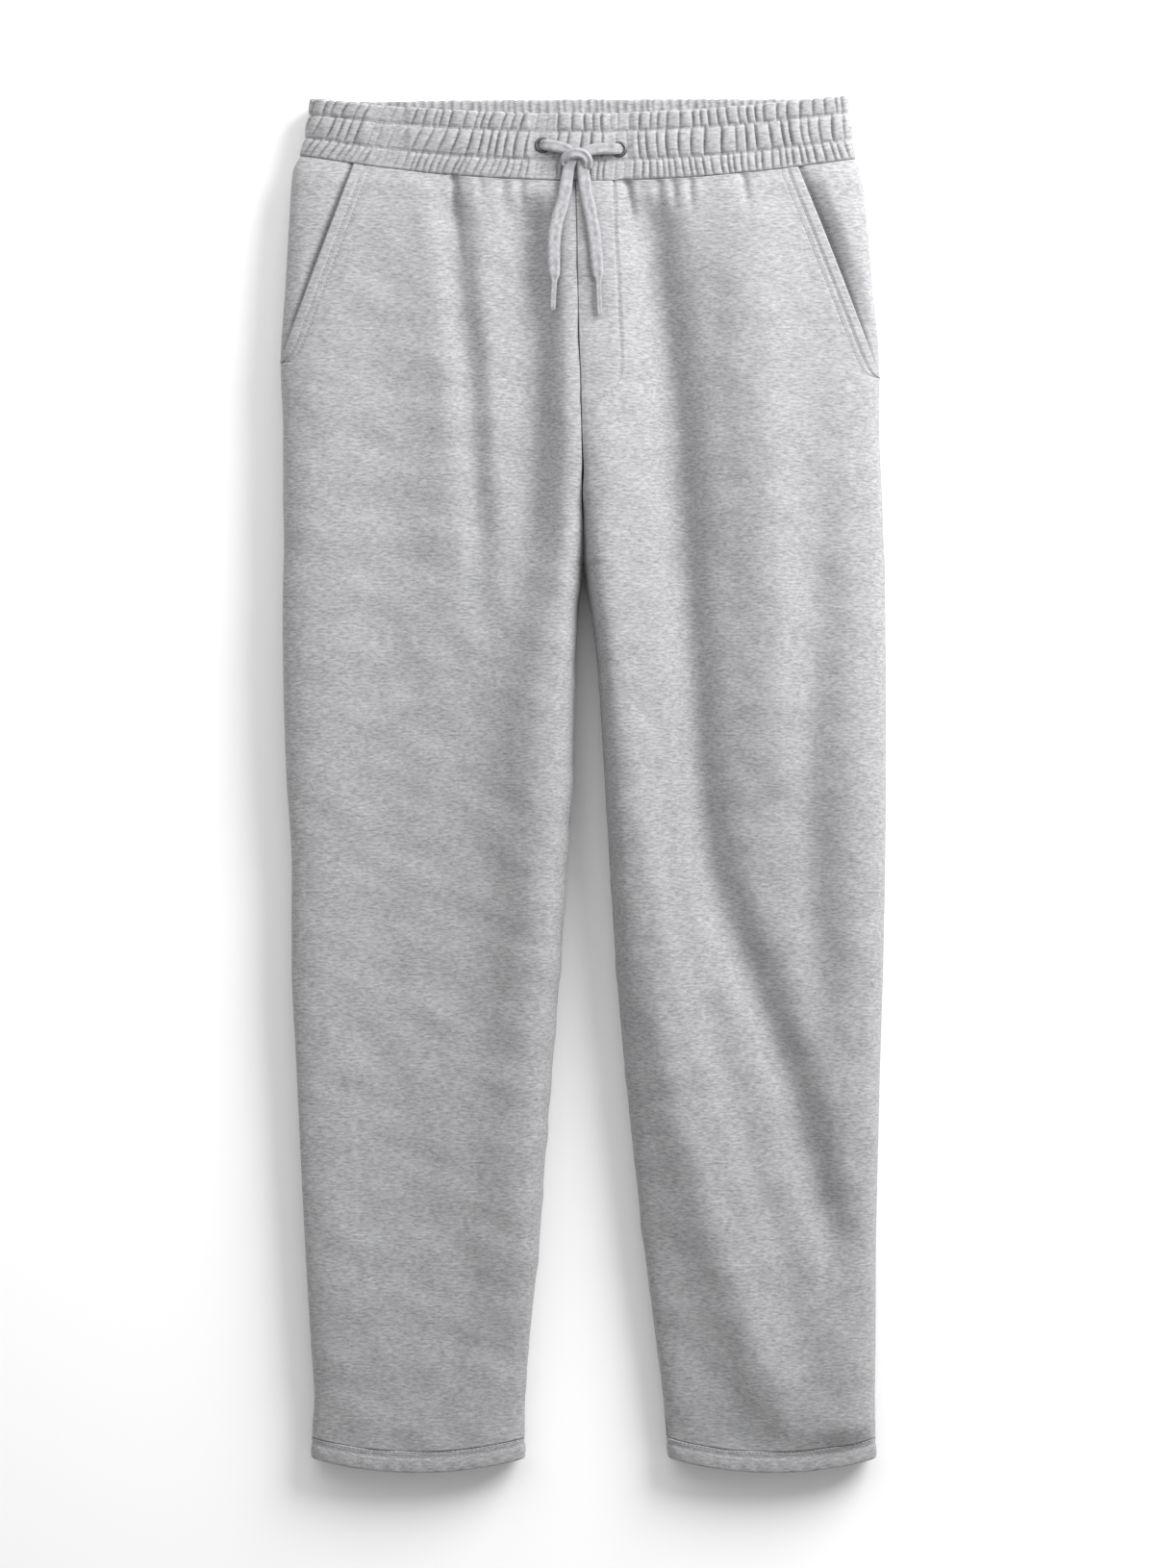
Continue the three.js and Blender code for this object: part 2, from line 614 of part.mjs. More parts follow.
function hem(side) {
  const level = { seam: HEM_LEVEL, edge: BOTTOM_LEVEL, middle: (HEM_LEVEL + BOTTOM_LEVEL) / 2 };
  const ring = (at, inward) => {
    const section = sectionAt(at);
    const inner = side === "right" ? section.rightIn : section.leftIn;
    const [right, left] = side === "right" ? [section.right, inner] : [inner, section.left];
    const shares = Array.from({ length: HEM_COLUMNS }, (_, j) => j / HEM_COLUMNS);
    const shift = at === HEM_LEVEL ? -GAP / 2 : 0;
    return loopAt(at, right, left, () => side, shares).map((spot) => loopPoint(spot, at, -inward, shift));
  };
  return ringWall([
    ring(level.seam, 0),
    ring(level.middle, -HEM_ROLL),
    ring(level.edge, 0),
    ring(level.edge, HEM_WALL),
    ring(level.seam, HEM_WALL),
  ]);
}

// Solid joins and cuts

function solidOf(geometry) {
  const plain = geometry.clone();
  for (const name of Object.keys(plain.attributes)) if (name !== "position") plain.deleteAttribute(name);
  const merged = mergeVertices(plain, 1e-4);
  return new wasm.Manifold(
    new wasm.Mesh({
      numProp: 3,
      vertProperties: new Float32Array(merged.attributes.position.array),
      triVerts: new Uint32Array(merged.index.array),
    }),
  );
}

function cut(geometry, tool) {
  const { vertProperties, triVerts, numProp } = solidOf(geometry).subtract(solidOf(tool)).getMesh();
  const result = new THREE.BufferGeometry();
  const points = new Float32Array((vertProperties.length / numProp) * 3);
  for (let i = 0; i < points.length; i++) points[i] = vertProperties[Math.floor(i / 3) * numProp + (i % 3)];
  result.setAttribute("position", new THREE.BufferAttribute(points, 3));
  result.setIndex([...triVerts]);
  result.computeVertexNormals();
  return result;
}

// Eyelets and drawcord

function eyelet() {
  const { rim, hole, barrel, rise, sunk, sides } = EYELET;
  const profile = [
    [hole, -sunk],
    [barrel, -sunk],
    [barrel, 0],
    [rim, 0],
    [rim, rise * 0.4],
    [rim - rise, rise],
    [hole + rise / 2, rise],
    [hole, rise * 0.5],
    [hole, -sunk],
  ];
  const points = profile.map(([radius, height]) => new THREE.Vector2(radius, height));
  return new THREE.LatheGeometry(points, sides).rotateX(Math.PI / 2);
}

// A route whose section keeps its flat side down.
class LyingCurve extends THREE.CatmullRomCurve3 {
  computeFrenetFrames(steps) {
    const up = new THREE.Vector3(0, 0, 1);
    const tangents = Array.from({ length: steps + 1 }, (_, i) => this.getTangentAt(i / steps));
    const normals = tangents.map((tangent) => new THREE.Vector3().crossVectors(up, tangent).normalize());
    const binormals = tangents.map((tangent, i) => new THREE.Vector3().crossVectors(tangent, normals[i]));
    return { tangents, normals, binormals };
  }
}

function cordAlong(route, width, thickness) {
  const points = route.map(({ x, y, z }) => new THREE.Vector3(x, y, z));
  const curve = new LyingCurve(points);
  const section = new THREE.Shape();
  for (let i = 0; i < CORD.sides; i++) {
    const angle = (2 * Math.PI * (i + 0.5)) / CORD.sides;
    const corner = [(width / 2) * Math.cos(angle), (thickness / 2) * Math.sin(angle)];
    if (i === 0) section.moveTo(...corner);
    else section.lineTo(...corner);
  }
  section.closePath();
  const steps = Math.max(2, Math.ceil(curve.getLength() / CORD.step));
  return new THREE.ExtrudeGeometry(section, { steps, bevelEnabled: false, extrudePath: curve });
}

function knot() {
  const ball = new THREE.SphereGeometry(1, 16, 8).rotateX(Math.PI / 2);
  return ball.scale(KNOT.halfWidth, KNOT.halfLength, KNOT.halfHeight);
}

// The garment

const garment = new THREE.Group();

function add(name, geometry, colour = COLOURS.cloth, roughness = 0.95, metalness = 0) {
  const material = new THREE.MeshStandardMaterial({ color: colour, roughness, metalness });
  const mesh = new THREE.Mesh(geometry, material);
  mesh.name = name;
  garment.add(mesh);
  return mesh;
}

for (const side of ["right", "left"]) {
  for (const [part, levels] of Object.entries(frontLevels(side))) {
    add(`front_${side}_${part}`, panel(side, "front", levels));
  }
  for (const [part, levels] of Object.entries(backLevels())) {
    add(`back_${side}_${part}`, panel(side, "back", levels));
  }
  add(`hip_${side}`, hipPiece(side));
  add(`hem_${side}`, hem(side));
  add(`eyelet_${side}`, eyelet(), COLOURS.metal, 0.35, 0.9)
    .position.set(EYELETS[side].x, EYELETS[side].y, bandTop() + GAP);
  add(`strand_${side}`, cordAlong(STRANDS[side], CORD.width, CORD.thickness), COLOURS.cord);
  add(`free_end_${side}`, cordAlong(FREE_ENDS[side], CORD.width, CORD.thickness), COLOURS.cord);
  add(`tip_${side}`, cordAlong([TIPS[side].from, TIPS[side].to], TIP_WIDTH, CORD.thickness), COLOURS.cord);
}
add("waistband", waistband());
add("knot", knot(), COLOURS.cord).position.set(KNOT.x, KNOT.y, KNOT.z);

export default garment;
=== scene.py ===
# Grey marl sweatpants laid flat with the front up: fleece panels, gathered waistband, hems, stitching, eyelets
# and a knotted flat drawcord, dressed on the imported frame. Laid out as a Blender add-on and run as a script.
# The form is worked out in millimetres, in the frame's own axes, and becomes metres where a mesh is made.

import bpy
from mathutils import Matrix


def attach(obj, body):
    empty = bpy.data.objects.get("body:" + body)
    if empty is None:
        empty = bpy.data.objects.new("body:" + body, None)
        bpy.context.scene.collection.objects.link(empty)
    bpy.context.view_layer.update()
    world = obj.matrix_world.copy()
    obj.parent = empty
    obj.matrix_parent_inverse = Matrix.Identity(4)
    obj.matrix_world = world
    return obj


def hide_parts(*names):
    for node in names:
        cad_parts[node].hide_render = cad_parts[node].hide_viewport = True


bl_info = {
    "name": "Laid-out sweatpants",
    "version": (1, 0, 0),
    "blender": (4, 5, 0),
    "location": "3D View > Sidebar > Garment",
    "description": "Fleece, gathers, stitching and drawcord of sweatpants laid flat",
    "category": "Object",
}

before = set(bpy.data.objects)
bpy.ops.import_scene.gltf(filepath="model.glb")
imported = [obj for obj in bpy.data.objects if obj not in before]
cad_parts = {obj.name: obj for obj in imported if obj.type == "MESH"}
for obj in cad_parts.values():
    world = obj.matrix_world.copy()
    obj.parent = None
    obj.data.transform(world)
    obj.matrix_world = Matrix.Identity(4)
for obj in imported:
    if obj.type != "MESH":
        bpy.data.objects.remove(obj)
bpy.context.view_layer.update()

import math

import bpy
import numpy as np
from mathutils import Vector

MM = 0.001
SEED = 7

# Levels are heights up the garment at its outer edges, where the seams across it reach the edge.
TOP_LEVEL = 525.0
WAIST_LEVEL = 478.5
CROTCH_LEVEL = 158.0
HEM_LEVEL = -497.5
BOTTOM_LEVEL = -515.5

# How far seams across the garment hang below their level half way between its outer edges.
DIP = {
    "front": {"top": 13.5, "waist": 19.0, "hem": 10.3},
    "back": {"top": -1.5, "waist": 8.0, "hem": 2.0},
}
WAIST_DIP_REACH = 230.0
HEM_DIP_REACH = 120.0
BAND_TILT = 1.2
BAND_TILT_REACH = 60.0

# Thickness of the cloth's walls, a little less than the solids', and their least heights over the table.
CLOTH = 1.9
BAND_WALL = 4.6
HEM_WALL = 3.6
OUTER_CLEAR = 0.02
INNER_CLEAR = 0.2

SIGN = {"right": -1.0, "left": 1.0}

# The frame's solids of a panel, which one piece of cloth stands for here.
PARTS = ("trunk", "thigh", "calf")


def table(names, rows):
    """Rows of numbers with named columns."""
    return np.array([tuple(row) for row in rows], dtype=[(name, float) for name in names.split()])


# Sections across the garment, as in the frame's own solids.
SECTIONS = table("level right right_in left_in left seam top joined", [
    (526, -207.4, 90, -90, 200.2, 16, 36, 1),
    (500, -210.8, 90, -90, 203.3, 16, 36, 1),
    (478.5, -217, 85, -85, 208, 17, 37, 1),
    (466, -222.5, 80, -80, 212.3, 18, 41, 0.95),
    (430, -225, 68, -72, 216.5, 20, 46, 0.8),
    (378, -228, 52, -56, 220.7, 21, 49, 0.5),
    (321, -231.5, 36, -40, 225.8, 21, 51, 0.25),
    (268, -229.6, 21, -24, 226, 21, 52, 0.1),
    (216, -229.6, 5, -7, 228.2, 21, 52, 0),
    (188, -229, 2, -2.5, 229, 21, 52, 0),
    (158, -229.6, -1, 1, 230.4, 21, 52, 0),
    (127, -230, -4.4, 6.2, 230.4, 21, 52, 0),
    (84, -229.6, -6.6, 11, 231, 21, 51, 0),
    (10, -227.4, -8.2, 15.6, 231, 20, 49, 0),
    (-63, -223.2, -12.6, 20, 230.4, 19, 46, 0),
    (-137, -223.4, -17.7, 24.6, 229, 18, 44, 0),
    (-210, -220, -23.5, 30.8, 226.8, 17, 42, 0),
    (-284, -216.6, -29.4, 38.4, 225, 16, 40, 0),
    (-357, -213, -34.7, 46.7, 223.6, 15, 37, 0),
    (-430, -208.7, -42, 55.9, 223.4, 14, 34, 0),
    (-470, -206.3, -44.9, 61, 223, 13, 32, 0),
    (-497.5, -208, -45.3, 63.2, 223.4, 13, 30, 0),
    (-516, -208.4, -44.9, 65, 223.8, 13, 29, 0),
])
LEG_POWER = 4.0
WIDE_POWER = 5.0
UNDERSIDE_POWER = 4.0
UNDERSIDE_FULLNESS = 1.06
CENTRE_REACH = 30.0

# Where the front centre seam runs, from the waist to the crotch.
CENTRE = table("level x", [(475, -6), (366, -4), (292, -2), (158, 0)])
CENTRE_GROOVE = {"crotch": {"width": 2.4, "depth": 8.0}, "above": {"width": 2.6, "depth": 0.9}}
CENTRE_GROOVE_LEVEL = 270.0

# Folds, the ten main ones first and then the finer ones. Each runs from one level down to another, over evenly
# spaced values of x. A positive rise is a ridge and a negative one a trough. The cloth's folds are deeper than
# the solids' ones by one factor.
FOLD_DEPTH = 1.8
FOLDS = [dict(zip(("start", "end", "width", "rise", "fade_in", "fade_out", "x"), row)) for row in [
    (468, 60, 13, -5, 22, 200, (-101, -88, -80, -72)),
    (458, 40, 19, -8, 20, 200, (-43, -41, -43, -58)),
    (466, -420, 17, -7, 20, 120, (48, 68, 80, 100, 162, 198)),
    (440, 60, 34, -3.5, 60, 120, (56, 68, 88)),
    (290, -500, 26, 6.5, 80, 60, (10, 16, 42, 88, 150)),
    (440, -60, 28, 4, 60, 120, (128, 138, 148)),
    (200, -260, 18, -4, 80, 120, (176, 172, 190)),
    (400, -440, 50, -6, 160, 200, (-146, -148, -154, -156)),
    (200, -460, 30, 6.5, 140, 120, (-27, -33, -50)),
    (160, -300, 42, -4.5, 120, 160, (-78, -84, -94)),
    (458, 140, 9, -2.2, 20, 160, (-37, -34, -36, -44)),
    (440, 140, 10, -1.5, 60, 160, (-70, -64, -60, -62)),
    (400, 60, 9, 1.6, 60, 140, (-14, -14, -18)),
    (440, -200, 9, -1.6, 40, 160, (58, 76, 88, 106)),
    (60, -420, 12, 1.6, 80, 100, (36, 60, 104, 150)),
    (100, -505, 38, 4.5, 120, 20, (208, 206, 203)),
    (478.5, 405, 3, -2.6, 2, 60, (-99, -94)),
    (478.5, 418, 3.5, -2.8, 2, 50, (33, 37, 40)),
    (478.5, 440, 3.5, -1.5, 2, 34, (57, 59)),
    (478.5, 447, 3, -1.6, 2, 28, (68, 70)),
    (478.5, 444, 3, -1.8, 2, 30, (81, 82)),
    (478.5, 440, 3, -1.8, 2, 34, (121, 126)),
    (478.5, 440, 4, -1.2, 2, 34, (-62, -60)),
    (478.5, 446, 3.5, -1.1, 2, 28, (-48, -47)),
    (478.5, 448, 3.5, -1.0, 2, 28, (-79, -77)),
]]
# How full the leg's round is where folds, and then the centre groove, start and are at their full depth.
FOLD_FADE = (0.35, 0.8)
GROOVE_FADE = (0.3, 0.9)

# Slanted pocket mouths: where each starts on the waist seam, and the level where it ends at the side.
POCKET = {"right": {"x": -175.7, "end": 321.0}, "left": {"x": 163.5, "end": 309.0}}
POCKET_LAP = 14.0
POCKET_DROP = 0.8
POCKET_SAG = {"right": 3.0, "left": 8.5}
POCKET_EASE = 6.0
POCKET_REACH = 17.0
GAPE_POWER = 0.6
GAPE_EDGE = 14.0

# Mock fly: its width from the centre seam, to where its curve turns in.
FLY = table("level width", [(478.5, 30), (406, 32), (330, 33), (311, 31.5), (301, 26), (292, 8)])
FLY_RISE = 1.0
FLY_EDGE = 3.0


def smooth(low, high, value):
    t = np.clip((np.asarray(value, float) - low) / (high - low), 0, 1)
    return t * t * (3 - 2 * t)


def along(rows, column, level):
    """A smooth curve through a table's column that doesn't overshoot between its rows."""
    at, value = rows["level"][::-1], rows[column][::-1]
    level = np.clip(np.asarray(level, float), at[0], at[-1])
    step = np.diff(value) / np.diff(at)
    tangent = np.empty_like(value)
    tangent[0], tangent[-1] = step[0], step[-1]
    before, after = step[:-1], step[1:]
    total = np.where(before * after > 0, before + after, 1.0)
    tangent[1:-1] = np.where(before * after > 0, 2 * before * after / total, 0.0)
    i = np.clip(np.searchsorted(at, level, side="right") - 1, 0, len(at) - 2)
    run = at[i + 1] - at[i]
    t = (level - at[i]) / run
    rise = value[i + 1] - value[i]
    return (
        value[i] + rise * (3 * t**2 - 2 * t**3)
        + run * (tangent[i] * (t - 2 * t**2 + t**3) + tangent[i + 1] * (t**3 - t**2))
    )


def through(values, share):
    """A smooth curve through evenly spaced values, at shares of its length."""
    values = np.asarray(values, float)
    last = len(values) - 1
    at = np.clip(np.asarray(share, float) * last, 0, last - 1e-9)
    i = np.floor(at).astype(int)
    t = at - i
    a, b, c, d = (values[np.clip(i + k, 0, last)] for k in (-1, 0, 1, 2))
    return b + 0.5 * t * (c - a + t * (2 * a - 5 * b + 4 * c - d + t * (3 * (b - c) + d - a)))


def reach_of(points):
    """How far along a line each of its points lies."""
    return np.concatenate([[0], np.cumsum(np.linalg.norm(np.diff(points, axis=0), axis=1))])


# The form of the garment: one height over the table for each side of the cloth, at any x and level.

def section_at(level):
    return {name: along(SECTIONS, name, level) for name in SECTIONS.dtype.names[1:]}


def centre_at(level):
    return along(CENTRE, "x", level)


def fullness(x, edge, other, power):
    across = np.clip(np.abs((2 * x - edge - other) / (edge - other)), 0, 1)
    return (1 - across**power) ** (1 / power)


def leg_fullness(x, section, side, power):
    return fullness(x, section[side], section[side + "_in"], power)


def side_fullness(x, section, side, centre, power):
    """Both legs' rounds, brought to one height where they meet at the centre seam."""
    own = leg_fullness(x, section, side, power)
    right = leg_fullness(centre, section, "right", power)
    left = leg_fullness(centre, section, "left", power)
    near = 1 - smooth(0, CENTRE_REACH, np.abs(x - centre))
    own_there = right if side == "right" else left
    above_crotch = section["right_in"] > section["left_in"]
    return own + np.where(above_crotch, ((right + left) / 2 - own_there) * near, 0)


def mixed_fullness(x, section, side, centre, leg_power):
    wide = fullness(x, section["right"], section["left"], WIDE_POWER)
    leg = side_fullness(x, section, side, centre, leg_power)
    return section["joined"] * wide + (1 - section["joined"]) * leg


def folds_at(x, level):
    rise = np.zeros(np.broadcast(x, level).shape)
    for fold in FOLDS:
        line = through(fold["x"], (fold["start"] - level) / (fold["start"] - fold["end"]))
        start = smooth(-fold["fade_in"], fold["fade_in"], fold["start"] - level)
        end = smooth(0, fold["fade_out"], level - fold["end"])
        rise += FOLD_DEPTH * fold["rise"] * start * end * np.exp(-(((x - line) / fold["width"]) ** 2))
    return rise


def fly_at(x, level):
    across = x - centre_at(level)
    width = along(FLY, "width", level)
    held = (level <= WAIST_LEVEL) & (level >= FLY["level"][-1]) & (across >= 0)
    return np.where(held, FLY_RISE * (1 - smooth(0, FLY_EDGE, across - width)), 0)


def top_height(x, level, side):
    section = section_at(level)
    centre = centre_at(level)
    full = mixed_fullness(x, section, side, centre, LEG_POWER)
    folds = folds_at(x, level) * smooth(*FOLD_FADE, full)
    high = smooth(CROTCH_LEVEL, CENTRE_GROOVE_LEVEL, level)
    low_end, high_end = CENTRE_GROOVE["crotch"], CENTRE_GROOVE["above"]
    width, depth = (low_end[key] + (high_end[key] - low_end[key]) * high for key in ("width", "depth"))
    joined = (level > CROTCH_LEVEL) & (level <= WAIST_LEVEL)
    sunk = np.where(joined, groove(x - centre, width, depth) * smooth(*GROOVE_FADE, full), 0)
    return section["seam"] + (section["top"] - section["seam"]) * full + folds + fly_at(x, level) - sunk


def under_height(x, level, side):
    section = section_at(level)
    full = mixed_fullness(x, section, side, 0.0, UNDERSIDE_POWER)
    return section["seam"] * np.maximum(0, 1 - UNDERSIDE_FULLNESS * full)


def y_at(x, level, face):
    """The y of a point: its level, less the dip of the seams that cross the garment near it."""
    section = section_at(level)
    on_right = x < centre_at(level)
    edge = np.where(on_right, section["right"], section["left"])
    inner = np.where(on_right, section["right_in"], section["left_in"])
    wide = (2 * x - section["right"] - section["left"]) / (section["left"] - section["right"])
    leg = (2 * x - edge - inner) / (edge - inner)
    dip = DIP[face]
    band_share = smooth(WAIST_LEVEL, TOP_LEVEL, level)
    waist = dip["waist"] + (dip["top"] - dip["waist"]) * band_share
    waist = waist * smooth(WAIST_LEVEL - WAIST_DIP_REACH, WAIST_LEVEL, level)
    hem = dip["hem"] * (1 - smooth(BOTTOM_LEVEL, HEM_LEVEL + HEM_DIP_REACH, level))
    tilt = BAND_TILT * (2 * band_share - 1) * smooth(WAIST_LEVEL - BAND_TILT_REACH, WAIST_LEVEL, level) * wide
    sag = waist * np.maximum(0, 1 - wide**2) + hem * np.maximum(0, 1 - leg**2)
    return level - sag + tilt


def round_at(level, side):
    section = section_at(level)
    edge, inner = section[side], section[side + "_in"]
    return (edge + inner) / 2, np.abs(edge - inner) / 2


def angle_of(x, level, side):
    """The angle round a section, from its outer edge, 0, to the inner one, a half turn."""
    middle, half = round_at(level, side)
    return np.arccos(np.clip(SIGN[side] * (x - middle) / half, -1, 1))


def inner_angle(level, side, face):
    centre = centre_at(level) if face == "front" else np.zeros_like(level)
    above = angle_of(centre + SIGN[side] * 0.05, level, side)
    return np.where(level <= CROTCH_LEVEL, np.pi, above)


def pocket_edge(level, side):
    pocket = POCKET[side]
    edge = along(SECTIONS, side, pocket["end"])
    return pocket["x"] + (edge - pocket["x"]) * (WAIST_LEVEL - level) / (WAIST_LEVEL - pocket["end"])


# Cloth as grids of points, with rows along the garment and columns across it.

class Cloth:
    """A stretch of cloth: its points, outward normals and how far each lies along its row from both ends."""

    def __init__(self, points, levels, facing):
        self.points = points
        self.levels = levels
        step = np.linalg.norm(np.diff(points[..., [0, 2]], axis=1), axis=2)
        self.reach = np.concatenate([np.zeros((len(points), 1)), np.cumsum(step, axis=1)], axis=1)
        self.refresh(facing)

    def refresh(self, facing):
        across = np.gradient(self.points, axis=1)
        down = np.gradient(self.points, axis=0)
        normal = np.cross(across, down)
        normal /= np.maximum(np.linalg.norm(normal, axis=2, keepdims=True), 1e-9)
        if np.mean(normal[..., 2]) * facing < 0:
            normal = -normal
        self.normals = normal

    def raise_by(self, relief, facing):
        self.points = self.points + self.normals * relief[..., None]
        self.refresh(facing)

    def from_start(self):
        return self.reach

    def from_end(self):
        return self.reach[:, -1:] - self.reach

    def spot(self, level, distance, from_end=False):
        """The point and normal at a level and a distance along its row."""
        rows = np.interp(-level, -self.levels, np.arange(len(self.levels)))
        low = min(int(rows), len(self.levels) - 2)
        share = rows - low
        found = []
        for row in (low, low + 1):
            reach = self.reach[row]
            at = reach[-1] - distance if from_end else distance
            both = np.concatenate([self.points[row], self.normals[row]], axis=1)
            found.append([np.interp(at, reach, both[:, k]) for k in range(6)])
        mixed = (1 - share) * np.array(found[0]) + share * np.array(found[1])
        return mixed[:3], mixed[3:] / np.linalg.norm(mixed[3:])


def columns(near, far, length, step):
    """Distances along a row: close together near both ends and even between them."""
    start, end = near[-1], length - far[-1]
    count = max(2, int(round((end - start) / step)))
    middle = np.linspace(start, end, count + 1)[1:-1]
    return np.concatenate([near, middle, (length - np.array(far))[::-1]])


# How many points a row's length is worked out from, and the largest share of a short row that its edges take.
ROW_SAMPLES = 480
EDGE_SHARE = 0.9


def cloth_grid(levels, side, face, start, end, near, far, step):
    """Cloth on one face of a section, from a start angle to an end angle, with its columns at the same distances
    from both edges in every row."""
    share = np.linspace(0, 1, ROW_SAMPLES)
    level = levels[:, None]
    angle = start[:, None] + (end - start)[:, None] * share
    middle, half = round_at(level, side)
    x = middle + SIGN[side] * half * np.cos(angle)
    height = top_height if face == "front" else under_height
    z = height(x, level, side)
    reach = np.concatenate([np.zeros((len(levels), 1)), np.cumsum(np.hypot(np.diff(x), np.diff(z)), axis=1)], axis=1)
    typical = float(np.median(reach[:, -1]))
    share_of = columns(near, far, typical, step)
    near_part = share_of <= near[-1]
    far_part = share_of >= typical - far[-1]
    points = np.empty((len(levels), len(share_of), 3))
    for row in range(len(levels)):
        total = reach[row, -1]
        scale = min(1.0, EDGE_SHARE * total / (near[-1] + far[-1]))
        at = np.empty_like(share_of)
        at[near_part] = share_of[near_part] * scale
        at[far_part] = total - (typical - share_of[far_part]) * scale
        middle_part = ~(near_part | far_part)
        inside = (share_of[middle_part] - near[-1]) / (typical - near[-1] - far[-1])
        at[middle_part] = near[-1] * scale + inside * (total - (near[-1] + far[-1]) * scale)
        points[row, :, 0] = np.interp(at, reach[row], x[row])
        points[row, :, 2] = np.interp(at, reach[row], z[row])
    points[..., 1] = y_at(points[..., 0], level, face)
    return Cloth(points, levels, 1 if face == "front" else -1)


def steps_between(high, low, step):
    return np.linspace(high, low, int(round((high - low) / step)) + 1)


def rolled(distance, radius):
    """How far a turned edge drops below the surface, at a distance from the edge."""
    short = np.clip(radius - distance, 0, radius)
    return radius - np.sqrt(np.maximum(radius**2 - short**2, 0))


def groove(distance, width, depth):
    return depth * np.exp(-((distance / width) ** 2))


# Meshes

def new_mesh(name, points, *faces, uv=None):
    """A smooth mesh of arrays of faces, each with its own number of corners, and its cloth coordinates."""
    mesh = bpy.data.meshes.new(name)
    points = np.asarray(points, np.float32).reshape(-1, 3) * MM
    faces = [np.asarray(some, np.int32) for some in faces]
    corners = np.concatenate([some.ravel() for some in faces])
    sizes = np.concatenate([np.full(len(some), some.shape[1], np.int32) for some in faces])
    mesh.vertices.add(len(points))
    mesh.vertices.foreach_set("co", points.ravel())
    mesh.loops.add(len(corners))
    mesh.loops.foreach_set("vertex_index", corners)
    mesh.polygons.add(len(sizes))
    mesh.polygons.foreach_set("loop_start", (np.cumsum(sizes) - sizes).astype(np.int32))
    mesh.polygons.foreach_set("loop_total", sizes)
    mesh.update(calc_edges=True)
    mesh.polygons.foreach_set("use_smooth", np.ones(len(sizes), bool))
    if uv is not None:
        layer = mesh.uv_layers.new(name="cloth")
        layer.data.foreach_set("uv", (np.asarray(uv, np.float32).reshape(-1, 2) * MM)[corners].ravel())
    mesh.validate()
    piece = bpy.data.objects.new(name, mesh)
    bpy.context.scene.collection.objects.link(piece)
    return piece


def strip_quads(rows, count, wrap_rows=False, wrap_columns=False):
    i = np.arange(rows if wrap_rows else rows - 1)[:, None]
    j = np.arange(count if wrap_columns else count - 1)[None, :]
    ni, nj = (i + 1) % rows, (j + 1) % count
    return np.stack([i * count + j, ni * count + j, ni * count + nj, i * count + nj], axis=-1).reshape(-1, 4)


def wall_piece(name, cloth, wall, material):
    """A closed piece of cloth: its outer points, the inner ones a wall's thickness in, and the rim."""
    outer = cloth.points
    inner = outer - cloth.normals * wall
    inner[..., 2] = np.maximum(inner[..., 2], INNER_CLEAR)
    rows, count = outer.shape[:2]
    total = rows * count
    up = strip_quads(rows, count)
    grid = np.arange(total).reshape(rows, count)
    loop = np.concatenate([grid[0, :-1], grid[:-1, -1], grid[-1, :0:-1], grid[:0:-1, 0]])
    after = np.roll(loop, -1)
    rim = np.stack([loop, after, after + total, loop + total], axis=1)
    quads = np.concatenate([up, up[:, ::-1] + total, rim])
    if facing_down(outer, up, cloth.normals):
        quads = quads[:, ::-1]
    across = np.broadcast_to(cloth.reach, (rows, count))
    uv = np.stack([across, np.broadcast_to(cloth.points[..., 1], (rows, count))], axis=-1).reshape(-1, 2)
    piece = new_mesh(name, np.concatenate([outer.reshape(-1, 3), inner.reshape(-1, 3)]), quads,
                     uv=np.tile(uv, (2, 1)))
    piece.data.materials.append(material)
    return piece


def facing_down(points, quads, normals):
    flat = points.reshape(-1, 3)
    a, b, c = (flat[quads[:, k]] for k in range(3))
    normal = np.cross(b - a, c - a)
    return np.sum(normal * normals.reshape(-1, 3)[quads[:, 0]]) < 0


def ring_piece(name, rings, uv, material):
    """A tube's wall, closed round both ways."""
    rows, count = rings.shape[:2]
    quads = strip_quads(rows, count, wrap_rows=True, wrap_columns=True)
    flat = rings.reshape(-1, 3)
    a, b, c = (flat[quads[:, k]] for k in range(3))
    if np.sum(a * np.cross(b, c)) < 0:
        quads = quads[:, ::-1]
    piece = new_mesh(name, flat, quads, uv=uv)
    piece.data.materials.append(material)
    return piece


def place(piece, slot, *nodes):
    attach(piece, "root")
    if nodes:
        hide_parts(*nodes)
    return piece


# Materials

def socket(group, name, kind, way, default=None):
    made = group.interface.new_socket(name=name, in_out=way, socket_type=kind)
    if default is not None:
        made.default_value = default
    return made


def node(tree, kind, inputs=None, **settings):
    made = tree.nodes.new(kind)
    for key, value in settings.items():
        setattr(made, key, value)
    for key, value in (inputs or {}).items():
        if isinstance(value, bpy.types.NodeSocket):
            tree.links.new(value, made.inputs[key])
        else:
            made.inputs[key].default_value = value
    return made


def maths(tree, operation, *values):
    return node(tree, "ShaderNodeMath", dict(enumerate(values)), operation=operation).outputs[0]


# The marl's layers of streaks: how much longer and higher each is than one streak, and its weight.
MARL_LAYERS = [((1.03, 0.97), 0.45), ((2.37, 1.31), 0.45), ((9.7, 8.3), 0.1)]


